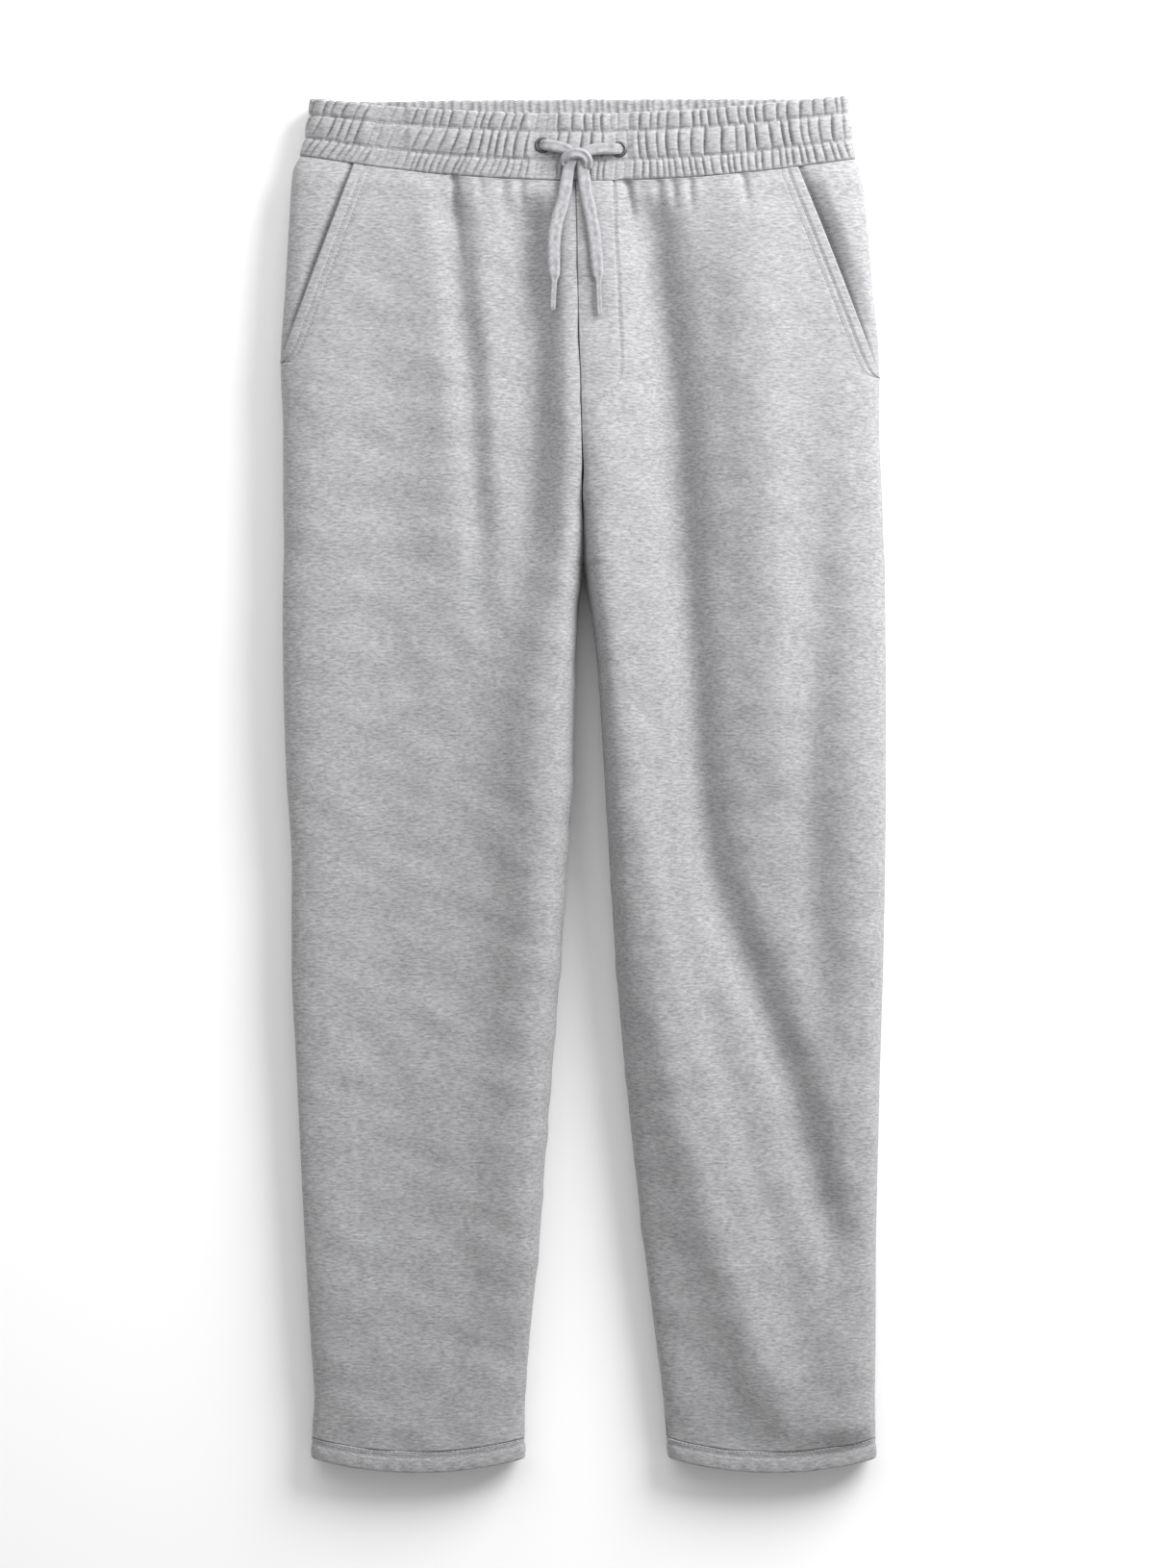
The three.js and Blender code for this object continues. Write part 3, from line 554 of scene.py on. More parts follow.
def marl_group():
    """Mixed light and dark fibres, drawn out along the courses of the knit."""
    group = bpy.data.node_groups.new("marl fibres", "ShaderNodeTree")
    socket(group, "Cloth", "NodeSocketVector", "INPUT")
    socket(group, "Light", "NodeSocketColor", "INPUT", (0.6, 0.6, 0.61, 1))
    socket(group, "Dark", "NodeSocketColor", "INPUT", (0.3, 0.3, 0.31, 1))
    socket(group, "Streak length", "NodeSocketFloat", "INPUT", 0.008)
    socket(group, "Streak height", "NodeSocketFloat", "INPUT", 0.001)
    socket(group, "Colour", "NodeSocketColor", "OUTPUT")
    socket(group, "Height", "NodeSocketFloat", "OUTPUT")
    start = node(group, "NodeGroupInput")
    end = node(group, "NodeGroupOutput")
    split = node(group, "ShaderNodeSeparateXYZ", {"Vector": start.outputs["Cloth"]})

    def streaks(longer, higher):
        wide = maths(group, "DIVIDE", split.outputs["X"], start.outputs["Streak length"])
        high = maths(group, "DIVIDE", split.outputs["Y"], start.outputs["Streak height"])
        joined = node(group, "ShaderNodeCombineXYZ", {"X": wide, "Y": high})
        moved = (1.7 * longer, 2.3 * higher, 0.43 * longer)
        scaled = node(group, "ShaderNodeVectorMath",
                      {0: joined.outputs[0], 1: (1 / longer, 1 / higher, 1), 2: moved}, operation="MULTIPLY_ADD")
        return node(group, "ShaderNodeTexNoise", {"Vector": scaled.outputs[0], "Scale": 1.0, "Detail": 1.0})

    total = 0.0
    for (longer, higher), weight in MARL_LAYERS:
        total = maths(group, "MULTIPLY_ADD", streaks(longer, higher).outputs["Fac"], weight, total)
    spread = node(group, "ShaderNodeMapRange", {"Value": total, "From Min": 0.33, "From Max": 0.67})
    mix = node(group, "ShaderNodeMix", {0: spread.outputs[0], 6: start.outputs["Dark"],
                                        7: start.outputs["Light"]}, data_type="RGBA")
    group.links.new(mix.outputs[2], end.inputs["Colour"])
    group.links.new(total, end.inputs["Height"])
    return group


def new_material(name, inputs):
    material = bpy.data.materials.new(name)
    material.use_nodes = True
    tree = material.node_tree
    shader = tree.nodes["Principled BSDF"]
    for key, value in inputs.items():
        shader.inputs[key].default_value = value
    return material, tree, shader


def marl(tree, shader, light, dark, streak_length, streak_height):
    """The shared marl as the shader's colour, laid out on the cloth's own coordinates."""
    cloth = node(tree, "ShaderNodeUVMap", uv_map="cloth").outputs["UV"]
    inputs = {"Cloth": cloth, "Light": light, "Dark": dark, "Streak length": streak_length,
              "Streak height": streak_height}
    fibres = node(tree, "ShaderNodeGroup", inputs, node_tree=bpy.data.node_groups["marl fibres"])
    tree.links.new(fibres.outputs["Colour"], shader.inputs["Base Color"])
    return cloth, fibres.outputs["Height"]


def bump(tree, shader, height, strength, distance):
    rough = node(tree, "ShaderNodeBump", {"Strength": strength, "Distance": distance, "Height": height})
    tree.links.new(rough.outputs["Normal"], shader.inputs["Normal"])


def speckle(tree, scale, detail):
    place_in = node(tree, "ShaderNodeTexCoord").outputs["Object"]
    return node(tree, "ShaderNodeTexNoise", {"Vector": place_in, "Scale": scale, "Detail": detail}).outputs["Fac"]


def blend_colours(tree, shader, share, light, dark):
    mix = node(tree, "ShaderNodeMix", {0: share, 6: dark, 7: light}, data_type="RGBA")
    tree.links.new(mix.outputs[2], shader.inputs["Base Color"])


def fleece_material(name, light, dark, streak_length, streak_height):
    material, tree, shader = new_material(name, {
        "Roughness": 0.95, "Sheen Weight": 0.12, "Sheen Roughness": 0.5, "Specular IOR Level": 0.25,
    })
    _, height = marl(tree, shader, light, dark, streak_length, streak_height)
    bump(tree, shader, height, 0.5, 0.0004)
    return material


def cord_group():
    """Ribs of a flat knitted cord: fine chevrons along it."""
    group = bpy.data.node_groups.new("cord knit", "ShaderNodeTree")
    socket(group, "Cloth", "NodeSocketVector", "INPUT")
    socket(group, "Wale width", "NodeSocketFloat", "INPUT", 0.0011)
    socket(group, "Course height", "NodeSocketFloat", "INPUT", 0.0009)
    socket(group, "Height", "NodeSocketFloat", "OUTPUT")
    start = node(group, "NodeGroupInput")
    end = node(group, "NodeGroupOutput")
    split = node(group, "ShaderNodeSeparateXYZ", {"Vector": start.outputs["Cloth"]})
    wale = maths(group, "DIVIDE", split.outputs["X"], start.outputs["Wale width"])
    course = maths(group, "DIVIDE", split.outputs["Y"], start.outputs["Course height"])
    fold = maths(group, "PINGPONG", wale, 1.0)
    lean = maths(group, "MULTIPLY_ADD", fold, 0.8, course)
    rib = maths(group, "SINE", maths(group, "MULTIPLY", lean, 2 * math.pi))
    group.links.new(maths(group, "MULTIPLY_ADD", fold, 2.0, rib), end.inputs["Height"])
    return group


# Flecks of the cord's marl, which are longest along it.
CORD_FLECK = {"across": 0.0013, "along": 0.0032}


def cord_material(name, light, dark):
    material, tree, shader = new_material(name, {
        "Roughness": 0.85, "Sheen Weight": 0.1, "Specular IOR Level": 0.3,
    })
    cloth, _ = marl(tree, shader, light, dark, CORD_FLECK["across"], CORD_FLECK["along"])
    knit = node(tree, "ShaderNodeGroup", {"Cloth": cloth}, node_tree=bpy.data.node_groups["cord knit"])
    bump(tree, shader, knit.outputs["Height"], 0.2, 0.0002)
    return material


def thread_material(name, light, dark):
    material, tree, shader = new_material(name, {"Roughness": 0.7})
    blend_colours(tree, shader, speckle(tree, 400.0, 1.0), light, dark)
    return material


def metal_material(name, light, dark):
    material, tree, shader = new_material(name, {"Metallic": 0.9})
    noise = speckle(tree, 900.0, 2.0)
    blend_colours(tree, shader, noise, light, dark)
    spread = node(tree, "ShaderNodeMapRange", {"Value": noise, "To Min": 0.3, "To Max": 0.5})
    tree.links.new(spread.outputs[0], shader.inputs["Roughness"])
    return material


def plain_material(name, colour, grain):
    material, tree, shader = new_material(name, {"Roughness": 0.9, "Base Color": colour})
    bump(tree, shader, speckle(tree, grain, 2.0), 0.05, 0.0002)
    return material


# Panels

# Where the panels end and the hems start, and how round the cloth is at its seams and free edges.
JOIN_LEVEL = -499.3
SEAM_GAP = 0.05
SEAM_ROLL = 0.7
BACK_ROLL = 0.9
MOUTH_ROLL = 1.4
HEM_ROLL = 0.4

# Pocket mouth: two rows of stitches, and a turned-in edge that makes the cloth thick up to the first of them.
POCKET_STITCHES = (8.3, 13.5)
POCKET_TURN = {"rise": 0.7, "from": 6.5, "to": 8.3}
STITCH_GROOVE = {"width": 0.9, "depth": 0.55}
FLY_CREASE = {"depth": 2.2, "width": 1.3, "inside": 1.0, "fade": 10.0}

# The back's mesh is coarser than the front's, by these factors for its rows and columns.
BACK_STEPS = (2.2, 1.7)
HIP_COLUMN = 1.6

# How uneven soft cloth is: the rise of its low waves, how many there are, and their shortest and longest lengths.
SOFTNESS = {"rise": 0.35, "waves": 26, "shortest": 22.0, "longest": 70.0}


def softness(x, y, seed):
    """Slight unevenness of soft cloth: low waves in all directions."""
    rng = np.random.default_rng(SEED + seed)
    total = np.zeros(np.broadcast(x, y).shape)
    for _ in range(SOFTNESS["waves"]):
        wave = rng.uniform(SOFTNESS["shortest"], SOFTNESS["longest"])
        turn, phase = rng.uniform(0, 2 * math.pi, 2)
        total += np.sin(2 * math.pi * (x * math.cos(turn) + y * math.sin(turn)) / wave + phase)
    return SOFTNESS["rise"] * total / math.sqrt(SOFTNESS["waves"] / 2)


# Each cloth is worked out once.
CLOTHS = {}


def front_cloth(side, row_step, column_step):
    levels = steps_between(WAIST_LEVEL - SEAM_GAP, JOIN_LEVEL + SEAM_GAP, row_step)
    levels = np.sort(np.unique(np.concatenate([
        levels,
        [CROTCH_LEVEL + 0.4, CROTCH_LEVEL, POCKET[side]["end"]],
        WAIST_LEVEL - np.array([SEAM_GAP, 0.4, 0.9, 1.6, 2.4]),
        JOIN_LEVEL + np.array([SEAM_GAP, 0.5, 1.1, 2.4]),
    ])))[::-1]
    start = np.where(levels > POCKET[side]["end"], angle_of(pocket_edge(levels, side), levels, side), 0.0)
    near = np.concatenate([[0, 0.4, 0.9, 1.5], np.arange(2.3, 16.2, 0.9)])
    far = np.array([0, 0.4, 0.9, 1.5, 2.4, 3.6])
    if side == "left":
        far = np.concatenate([[0, 0.4, 0.9, 1.5], np.arange(2.6, 38.2, 1.25)])
    cloth = cloth_grid(levels, side, "front", start, inner_angle(levels, side, "front"), near, far, column_step)
    x, y = cloth.points[..., 0], cloth.points[..., 1]
    level = levels[:, None]
    from_mouth = cloth.from_start()
    relief = softness(x, y, 1 if side == "right" else 2) * smooth(0, 40, from_mouth)
    relief -= rolled(cloth.from_end(), SEAM_ROLL)
    mouth = level > POCKET[side]["end"]
    relief -= np.where(mouth, rolled(from_mouth, MOUTH_ROLL), rolled(from_mouth, SEAM_ROLL))
    turned = 1 - smooth(POCKET_TURN["from"], POCKET_TURN["to"], from_mouth)
    relief += np.where(mouth, POCKET_TURN["rise"] * turned, 0)
    for distance in POCKET_STITCHES:
        relief -= np.where(mouth, groove(from_mouth - distance, **STITCH_GROOVE), 0)
    relief -= rolled(WAIST_LEVEL - level, SEAM_ROLL) + rolled(level - JOIN_LEVEL, HEM_ROLL)
    if side == "left":
        on_fly = smooth(FLY["level"][-1], FLY["level"][-1] + FLY_CREASE["fade"], level) * np.ones_like(x)
        from_edge = x - centre_at(level) - along(FLY, "width", level) + FLY_CREASE["inside"]
        relief -= on_fly * groove(from_edge, FLY_CREASE["width"], FLY_CREASE["depth"])
    cloth.raise_by(relief, 1)
    return cloth


def back_cloth(side, row_step, column_step):
    levels = steps_between(WAIST_LEVEL - SEAM_GAP, JOIN_LEVEL + SEAM_GAP, BACK_STEPS[0] * row_step)
    levels = np.sort(np.unique(np.concatenate([levels, [CROTCH_LEVEL + 0.4, CROTCH_LEVEL]])))[::-1]
    start = np.zeros_like(levels)
    near = np.array([0, 0.8, 1.8, 3.2])
    end = inner_angle(levels, side, "back")
    cloth = cloth_grid(levels, side, "back", start, end, near, near, BACK_STEPS[1] * column_step)
    relief = -rolled(cloth.from_start(), SEAM_ROLL) - rolled(cloth.from_end(), BACK_ROLL)
    cloth.raise_by(relief * np.ones(cloth.points.shape[:2]), -1)
    cloth.points[..., 2] = np.maximum(cloth.points[..., 2], OUTER_CLEAR)
    return cloth


def hip_cloth(side, row_step, _):
    end_level = POCKET[side]["end"] + 1
    levels = steps_between(WAIST_LEVEL - SEAM_GAP, end_level, row_step)
    mouth = pocket_edge(levels, side)
    last = angle_of(mouth - SIGN[side] * POCKET_LAP, levels, side)
    near = np.array([0, 0.5, 1.2, 2.4])
    cloth = cloth_grid(levels, side, "front", np.zeros_like(levels), last, near, near, HIP_COLUMN)
    level = levels[:, None]
    down = (WAIST_LEVEL - level) / (WAIST_LEVEL - end_level)
    from_mouth = cloth.from_end() - POCKET_LAP
    covered = 1 - smooth(0, POCKET_EASE, from_mouth)
    gape = np.sin(math.pi * np.clip(down, 0, 1) ** GAPE_POWER) * (1 - smooth(0, POCKET_REACH, from_mouth))
    gape = gape * smooth(0, GAPE_EDGE, cloth.from_start())
    relief = -(covered * (CLOTH + POCKET_DROP) + POCKET_SAG[side] * gape)
    relief -= rolled(WAIST_LEVEL - level, SEAM_ROLL)
    cloth.raise_by(relief, 1)
    return cloth


def cloth_of(kind, side):
    if (kind, side) not in CLOTHS:
        settings = bpy.context.scene.garment
        make = {"front": front_cloth, "back": back_cloth, "hip": hip_cloth}[kind]
        CLOTHS[kind, side] = make(side, settings.row_step / MM, settings.column_step / MM)
    return CLOTHS[kind, side]


# Waistband and hems

# Stitch lines of the band, as shares of its height, and of the hems, in millimetres over their lower edge.
BAND_LINES = (0.31, 0.712)
HEM_LINES = (16.2, 11.8)
BAND_COLUMNS = {"front": 760, "back": 340}
HEM_COLUMNS = {"front": 240, "back": 120}

# The share of the band's height, and the distance in from the hem's edge, where the wall turns over.
CAP = 0.955
HEM_CAP = 1.6
BAND_ROWS = np.linspace(0, CAP, 44)
HEM_ROWS = np.linspace(JOIN_LEVEL - SEAM_GAP, BOTTOM_LEVEL + HEM_CAP, 17)

# The band is calm at a spot near its right edge and round both eyelets. Three channels hold puffs of cloth between
# creases. Their distances lie between low and high, with a beta spread, and their weights between two values.
CALM = table("x reach", [(-149, 18), (-31.4, 12), (27, 12)])
CHANNELS = [
    {"from": 0.0, "to": 0.31, "low": 3.5, "high": 8.5, "rise": 1.25, "seed": 11},
    {"from": 0.31, "to": 0.712, "low": 5.5, "high": 13.0, "rise": 1.6, "seed": 12},
    {"from": 0.712, "to": 1.0, "low": 5.0, "high": 12.0, "rise": 1.4, "seed": 13},
]
LINING = {"low": 4.0, "high": 9.0, "rise": 0.9, "seed": 14}
CHANNEL_BLEND = 0.015
CHANNEL_HUMP = 0.7
SPACING = {"a": 1.6, "b": 2.2, "size": 400}
SPOTS_BEYOND = 6.0
WEIGHTS = (0.55, 1.0)
PUFF_WIDEST = 9.5
PUFF_HEIGHT = (0.35, 0.17)
PUFF_POWERS = (2.6, 0.66)
CREASE = {"depth": 1.3, "width": 0.8}
BAND_GROOVE = {"width": 1.1, "depth": 0.9}
LINING_GROOVE = {"width": 1.1, "depth": 0.7}
BAND_LEAN = {"most": 0.34, "from": -120, "to": 60}
BAND_WOBBLE = {"width": 0.7, "turns": 7, "spacing": 17}
BAND_CALM = {"flat": 0.6, "less": 0.75, "rise": 0.6}
BAND_ROLL = 1.0
BAND_SUNK = 0.6
SCALLOP = {"depth": 0.9, "from": 0.82}

# Below its lower stitch line the hem swells a little, with a slight twist: depths and distances of two waves.
HEM_SWELL = 0.5
HEM_ROPE = ((0.12, 17.0), (0.05, 7.9))
HEM_ROPE_LEAN = 0.6
HEM_ROPE_FADE = (6.0, 12.0)
HEM_GROOVE = {"width": 0.9, "depth": 0.6}


def loop_at(level, right, left, side, shares):
    """A loop round both faces of a section, from its right edge over the front and back below. Gives x, z and
    the outward normal at shares of its length."""
    turn = np.linspace(0, 2 * math.pi, 2881)
    middle, half = (right + left) / 2, (left - right) / 2
    x = middle - half * np.cos(turn)
    front = turn < math.pi
    level = np.full_like(x, level)
    z = np.where(front, top_height(x, level, side), under_height(x, level, side))
    reach = np.concatenate([[0], np.cumsum(np.hypot(np.diff(x), np.diff(z)))])
    nx, nz = -np.gradient(z), np.gradient(x)
    kernel = np.ones(9) / 9
    nx = np.convolve(np.concatenate([nx[-5:-1], nx, nx[1:5]]), kernel, "valid")
    nz = np.convolve(np.concatenate([nz[-5:-1], nz, nz[1:5]]), kernel, "valid")
    size = np.hypot(nx, nz)
    at = shares * reach[-1]
    found = [np.interp(at, reach, value) for value in (x, z, nx / size, nz / size)]
    return found + [reach[-1], np.interp(math.pi, turn, reach) / reach[-1]]


def creases(channel, length):
    rng = np.random.default_rng(SEED + channel["seed"])
    gaps = channel["low"] + (channel["high"] - channel["low"]) * rng.beta(**SPACING)
    spots = np.cumsum(gaps)
    spots = spots[spots < length]
    ends = [-SPOTS_BEYOND], [length + SPOTS_BEYOND]
    return np.concatenate([ends[0], spots, ends[1]]), rng.uniform(*WEIGHTS, len(spots) + 2)


def puffs(at, spots, weights):
    """Rounded puffs of cloth between sharp creases."""
    after = np.clip(np.searchsorted(spots, at), 1, len(spots) - 1)
    low, high = spots[after - 1], spots[after]
    gap = high - low
    near_low = at - low < high - at
    share = np.clip(2 * np.minimum(at - low, high - at) / gap, 0, 1)
    weight = np.where(near_low, weights[after - 1], weights[after])
    round_off = (1 - (1 - share) ** PUFF_POWERS[0]) ** PUFF_POWERS[1]
    nearest = np.minimum(at - low, high - at)
    crease = CREASE["depth"] * weight * np.exp(-((nearest / CREASE["width"]) ** 2))
    height = PUFF_HEIGHT[0] + PUFF_HEIGHT[1] * np.minimum(gap, PUFF_WIDEST)
    return height * (1 - weight * (1 - round_off)) - crease


def band_relief(arc, share, x, length):
    total = np.zeros_like(arc)
    height = TOP_LEVEL - WAIST_LEVEL
    lean = BAND_LEAN["most"] * (1 - smooth(BAND_LEAN["from"], BAND_LEAN["to"], x))
    wobble = BAND_WOBBLE["width"] * np.sin(BAND_WOBBLE["turns"] * share + arc / BAND_WOBBLE["spacing"])
    at = arc - lean * (share - 0.5) * height + wobble
    for channel in CHANNELS:
        spots, weights = creases(channel, length)
        inside = smooth(channel["from"] - CHANNEL_BLEND, channel["from"] + CHANNEL_BLEND, share)
        middle = np.clip((share - channel["from"]) / (channel["to"] - channel["from"]), 0, 1)
        if channel["to"] == 1.0:
            middle = np.minimum(middle, 0.5)
        else:
            inside = inside * (1 - smooth(channel["to"] - CHANNEL_BLEND, channel["to"] + CHANNEL_BLEND, share))
        hump = 1 - CHANNEL_HUMP * (1 - np.sin(math.pi * middle) ** 0.6)
        total += channel["rise"] * inside * hump * puffs(at, spots, weights)
    calm = np.zeros_like(x)
    for spot in CALM:
        reach = spot["reach"]
        calm = np.maximum(calm, 1 - smooth(BAND_CALM["flat"] * reach, reach, np.abs(x - spot["x"])))
    total = total * (1 - BAND_CALM["less"] * calm) + BAND_CALM["rise"] * calm
    for line in BAND_LINES:
        total -= groove((share - line) * height, **BAND_GROOVE)
    return total - rolled(share * height, BAND_ROLL) - BAND_SUNK


def wall_rows(outer, inner):
    """Rows of a wall: its outer side, the turn over its free edge, and its inner side."""
    turns = np.linspace(0, math.pi, 9)[1:-1]
    return [(kind, value) for kind, values in (("outer", outer), ("cap", turns), ("inner", inner)) for value in values]


def wall_offset(kind, value, outer, inner):
    """How far out a row of a wall is, and how far it is beyond the start of the turn, as a share."""
    if kind == "cap":
        blend = (1 - math.cos(value)) / 2
        return outer * (1 - blend) + inner * blend, math.sin(value)
    return (outer if kind == "outer" else inner), 0.0


def wall_shares(level, right, left, side, counts):
    """Shares of a loop's length at which a wall's columns are, its length, and the share on its front."""
    *_, length, front_share = loop_at(level, right, left, side, np.array([0.0]))
    front = np.linspace(0, front_share, counts["front"], endpoint=False)
    back = np.linspace(front_share, 1, counts["back"], endpoint=False)
    return np.concatenate([front, back]), length, front_share


def wall_y(x, level, in_front):
    level = np.full_like(x, level)
    return np.where(in_front, y_at(x, level, "front"), y_at(x, level, "back"))


def band_wall():
    height = TOP_LEVEL - WAIST_LEVEL
    section = section_at(TOP_LEVEL)
    shares, length, front_share = wall_shares(TOP_LEVEL, section["right"], section["left"], "left", BAND_COLUMNS)
    arc = shares * length
    spots, weights = creases(LINING, length)
    rings, uv = [], []
    for kind, value in wall_rows(BAND_ROWS, np.linspace(CAP, 0, 18)):
        share = CAP if kind == "cap" else value
        level = WAIST_LEVEL + height * share
        section = section_at(level)
        x, z, nx, nz, _, _ = loop_at(level, section["right"], section["left"], "left", shares)
        outer = band_relief(arc, np.full_like(arc, share), x, length)
        lining = -BAND_WALL + LINING["rise"] * puffs(arc + 2 * np.sin(5 * share), spots, weights)
        lining = lining - sum(groove((share - line) * height, **LINING_GROOVE) for line in BAND_LINES)
        offset, beyond = wall_offset(kind, value, outer, lining)
        x = x + nx * offset
        y = wall_y(x, level + height * (1 - CAP) * beyond, shares < front_share)
        if kind == "outer" and share == 0:
            y = y + SEAM_GAP
        near_top = smooth(SCALLOP["from"], 1, share if kind != "cap" else 1)
        y = y - SCALLOP["depth"] * near_top * (1 - outer / max(outer.max(), 1))
        rings.append(np.stack([x, y, np.maximum(z + nz * offset, OUTER_CLEAR)], axis=-1))
        depth = {"outer": height * share, "cap": height * CAP + 2 * value, "inner": height * (2 - share)}[kind]
        uv.append(np.stack([arc, np.full_like(arc, depth)], axis=-1))
    return np.array(rings), np.array(uv)


def hem_wall(side):
    shares = None
    rings, uv = [], []
    for kind, value in wall_rows(HEM_ROWS, np.linspace(HEM_ROWS[-1], HEM_ROWS[0], 6)):
        level = HEM_ROWS[-1] if kind == "cap" else value
        section = section_at(level)
        right = section["right"] if side == "right" else section["left_in"]
        left = section["right_in"] if side == "right" else section["left"]
        if shares is None:
            shares, length, front_share = wall_shares(level, right, left, side, HEM_COLUMNS)
        x, z, nx, nz, _, _ = loop_at(level, right, left, side, shares)
        above = level - BOTTOM_LEVEL
        arc = shares * length
        (twist, pitch), (ripple, spacing) = HEM_ROPE
        rope = twist * np.sin(2 * math.pi * (arc + HEM_ROPE_LEAN * above) / pitch)
        rope = rope + ripple * np.sin(2 * math.pi * arc / spacing)
        swell = HEM_SWELL * math.sin(math.pi * min(1, above / HEM_LINES[1]))
        outer = swell + rope * smooth(0, HEM_ROPE_FADE[0], HEM_ROPE_FADE[1] - above)
        outer = outer - sum(groove(above - line, **HEM_GROOVE) for line in HEM_LINES)
        outer = outer - rolled(HEM_ROWS[0] - level, HEM_ROLL)
        offset, beyond = wall_offset(kind, value, outer, np.full_like(arc, -HEM_WALL))
        level = level - HEM_CAP * beyond
        x = x + nx * offset
        y = wall_y(x, level, shares < front_share)
        rings.append(np.stack([x, y, np.maximum(z + nz * offset, OUTER_CLEAR)], axis=-1))
        uv.append(np.stack([arc, np.full_like(arc, level - (3 if kind == "inner" else 0))], axis=-1))
    return np.array(rings), np.array(uv)


# Stitches, lifted a little off the cloth, and starting a little way from where their line starts. The fly's line
# has a straight part and a turn: the level where one ends and the other begins, and how many points each has.

LIFT = {"wall": 0.15, "panel": 0.1}
SKIPPED_COLUMNS = 4
STITCH_START = 3.0
FLY_TURN = ((311, 60), (308, 12))
FLY_END = 292.5


def stitch_mesh(name, lines, material, length, pitch, thickness):
    """Short rounded stitches along lines. Each line is points with their normals."""
    rings, sides = 5, 6
    t = np.linspace(-1, 1, rings)
    turn = np.arange(sides) * 2 * math.pi / sides
    radius = np.sqrt(np.maximum(1 - np.abs(t) ** 3, 0.02))
    template = np.stack([
        np.repeat(t * length / 2, sides),
        (radius[:, None] * np.cos(turn)).ravel() * thickness / 2,
        (radius[:, None] * np.sin(turn)).ravel() * thickness / 2,
    ], axis=-1)
    base = strip_quads(rings, sides, wrap_columns=True)
    points, quads, count = [], [], 0
    for line, normals in lines:
        reach = reach_of(line)
        number = max(1, int(reach[-1] / pitch))
        for centre in (np.arange(number) + 0.5) * reach[-1] / number:
            spot, before, after, normal = (
                np.array([np.interp(at, reach, source[:, k]) for k in range(3)])
                for at, source in ((centre, line), (centre - length / 2, line), (centre + length / 2, line),
                                   (centre, normals))
            )
            tangent = (after - before) / np.linalg.norm(after - before)
            normal = normal - tangent * normal.dot(tangent)
            normal /= np.linalg.norm(normal)
            frame_of = np.stack([tangent, np.cross(normal, tangent), normal])
            points.append(spot + template @ frame_of)
            quads.append(base + count)
            count += len(template)
    piece = new_mesh(name, np.concatenate(points), np.concatenate(quads))
    piece.data.materials.append(material)
    return piece


def line_on(cloth, levels, distances, from_end):
    """A line on a panel, at distances from its edge."""
    found = [cloth.spot(level, distance, from_end) for level, distance in zip(levels, distances)]
    points = np.array([spot + LIFT["panel"] * normal for spot, normal in found])
    return points, np.array([normal for _, normal in found])


def line_round(rings, rows, line, columns_of):
    """A line along the front of a wall, on its row that is nearest to the line."""
    row = max(1, int(np.argmin(np.abs(rows - line))))
    part = slice(SKIPPED_COLUMNS, columns_of["front"] - SKIPPED_COLUMNS)
    ring = rings[row][part]
    across = np.gradient(ring, axis=0)
    up = rings[row + 1][part] - rings[row - 1][part]
    normal = np.cross(across, up)
    normal /= np.linalg.norm(normal, axis=1, keepdims=True)
    kernel = np.ones(7) / 7
    normal = np.stack([np.convolve(np.pad(normal[:, k], 3, "edge"), kernel, "valid") for k in range(3)], axis=-1)
    if np.mean(normal[: len(normal) // 3, 2]) < 0:
        normal = -normal
    return ring + LIFT["wall"] * normal, normal


# Cord

CORD = {"width": 9.4, "thickness": 3.6, "round": 20.68}
EYELETS = {"right": (-31.4, 486.5), "left": (27.0, 483.3)}
BAND_TOP = 36.0
CORD_ROUTES = {
    "right": table("x y z width", [
        (-32.6, 486.6, 35.5, 6.5), (-31.6, 486.6, 38.4, 7.6), (-28.5, 486.3, 40.6, 8.6), (-24.5, 485.7, 41.2, 9),
        (-19.5, 484.7, 41.6, 9), (-14, 483, 42.4, 8.6), (-9, 479.5, 43, 8), (-9, 474.5, 42.6, 8),
        (-11.2, 469.7, 41.6, 8.8), (-12.9, 460, 41.4, 9.6), (-15.5, 443.8, 43.8, 10), (-20.3, 428, 46.5, 10),
        (-22.5, 414, 48.1, 10), (-22.9, 398.9, 49.2, 9.8), (-22.6, 388, 50, 9), (-22.5, 384, 50.1, 6.6),
        (-22.6, 381.5, 50.2, 4.7), (-23.2, 371, 50.5, 4.5), (-23.8, 359.4, 51, 4.5),
    ]),
    "left": table("x y z width", [
        (28.2, 483.3, 35.5, 6.5), (27.2, 483.3, 38.4, 7.6), (24, 483.3, 40.6, 8.6), (19, 483.3, 41.2, 9),
        (12, 483.2, 41.6, 9), (6, 482.2, 42.4, 8.6), (0, 479.5, 43, 8), (-1.2, 474.5, 42.6, 8),
        (-0.6, 469.7, 41.6, 8.8), (0.4, 460, 41.9, 9.6), (2.2, 448.2, 44.2, 10), (5.4, 432, 47.4, 10),
        (8.1, 415.8, 49.2, 10), (9.7, 398, 50.6, 9.8), (10.6, 388, 51.2, 9), (10.9, 384, 51.4, 6.6),
        (11, 381.5, 51.5, 4.7), (11.5, 368, 52.1, 4.5), (12, 355.2, 52.7, 4.5),
    ]),
}
KNOT_WRAP = table("x y z width", [
    (-13.8, 470, 41, 5.5), (-14.6, 473.4, 43, 7), (-12.8, 476.8, 44.8, 8), (-8.6, 479, 45.8, 8.6),
    (-3.8, 479.3, 46, 8.6), (0.4, 477.6, 45.6, 8.4), (2.8, 474.2, 44.6, 8.2), (3, 470.6, 43, 7.6),
    (2.6, 467.4, 41.8, 6),
])


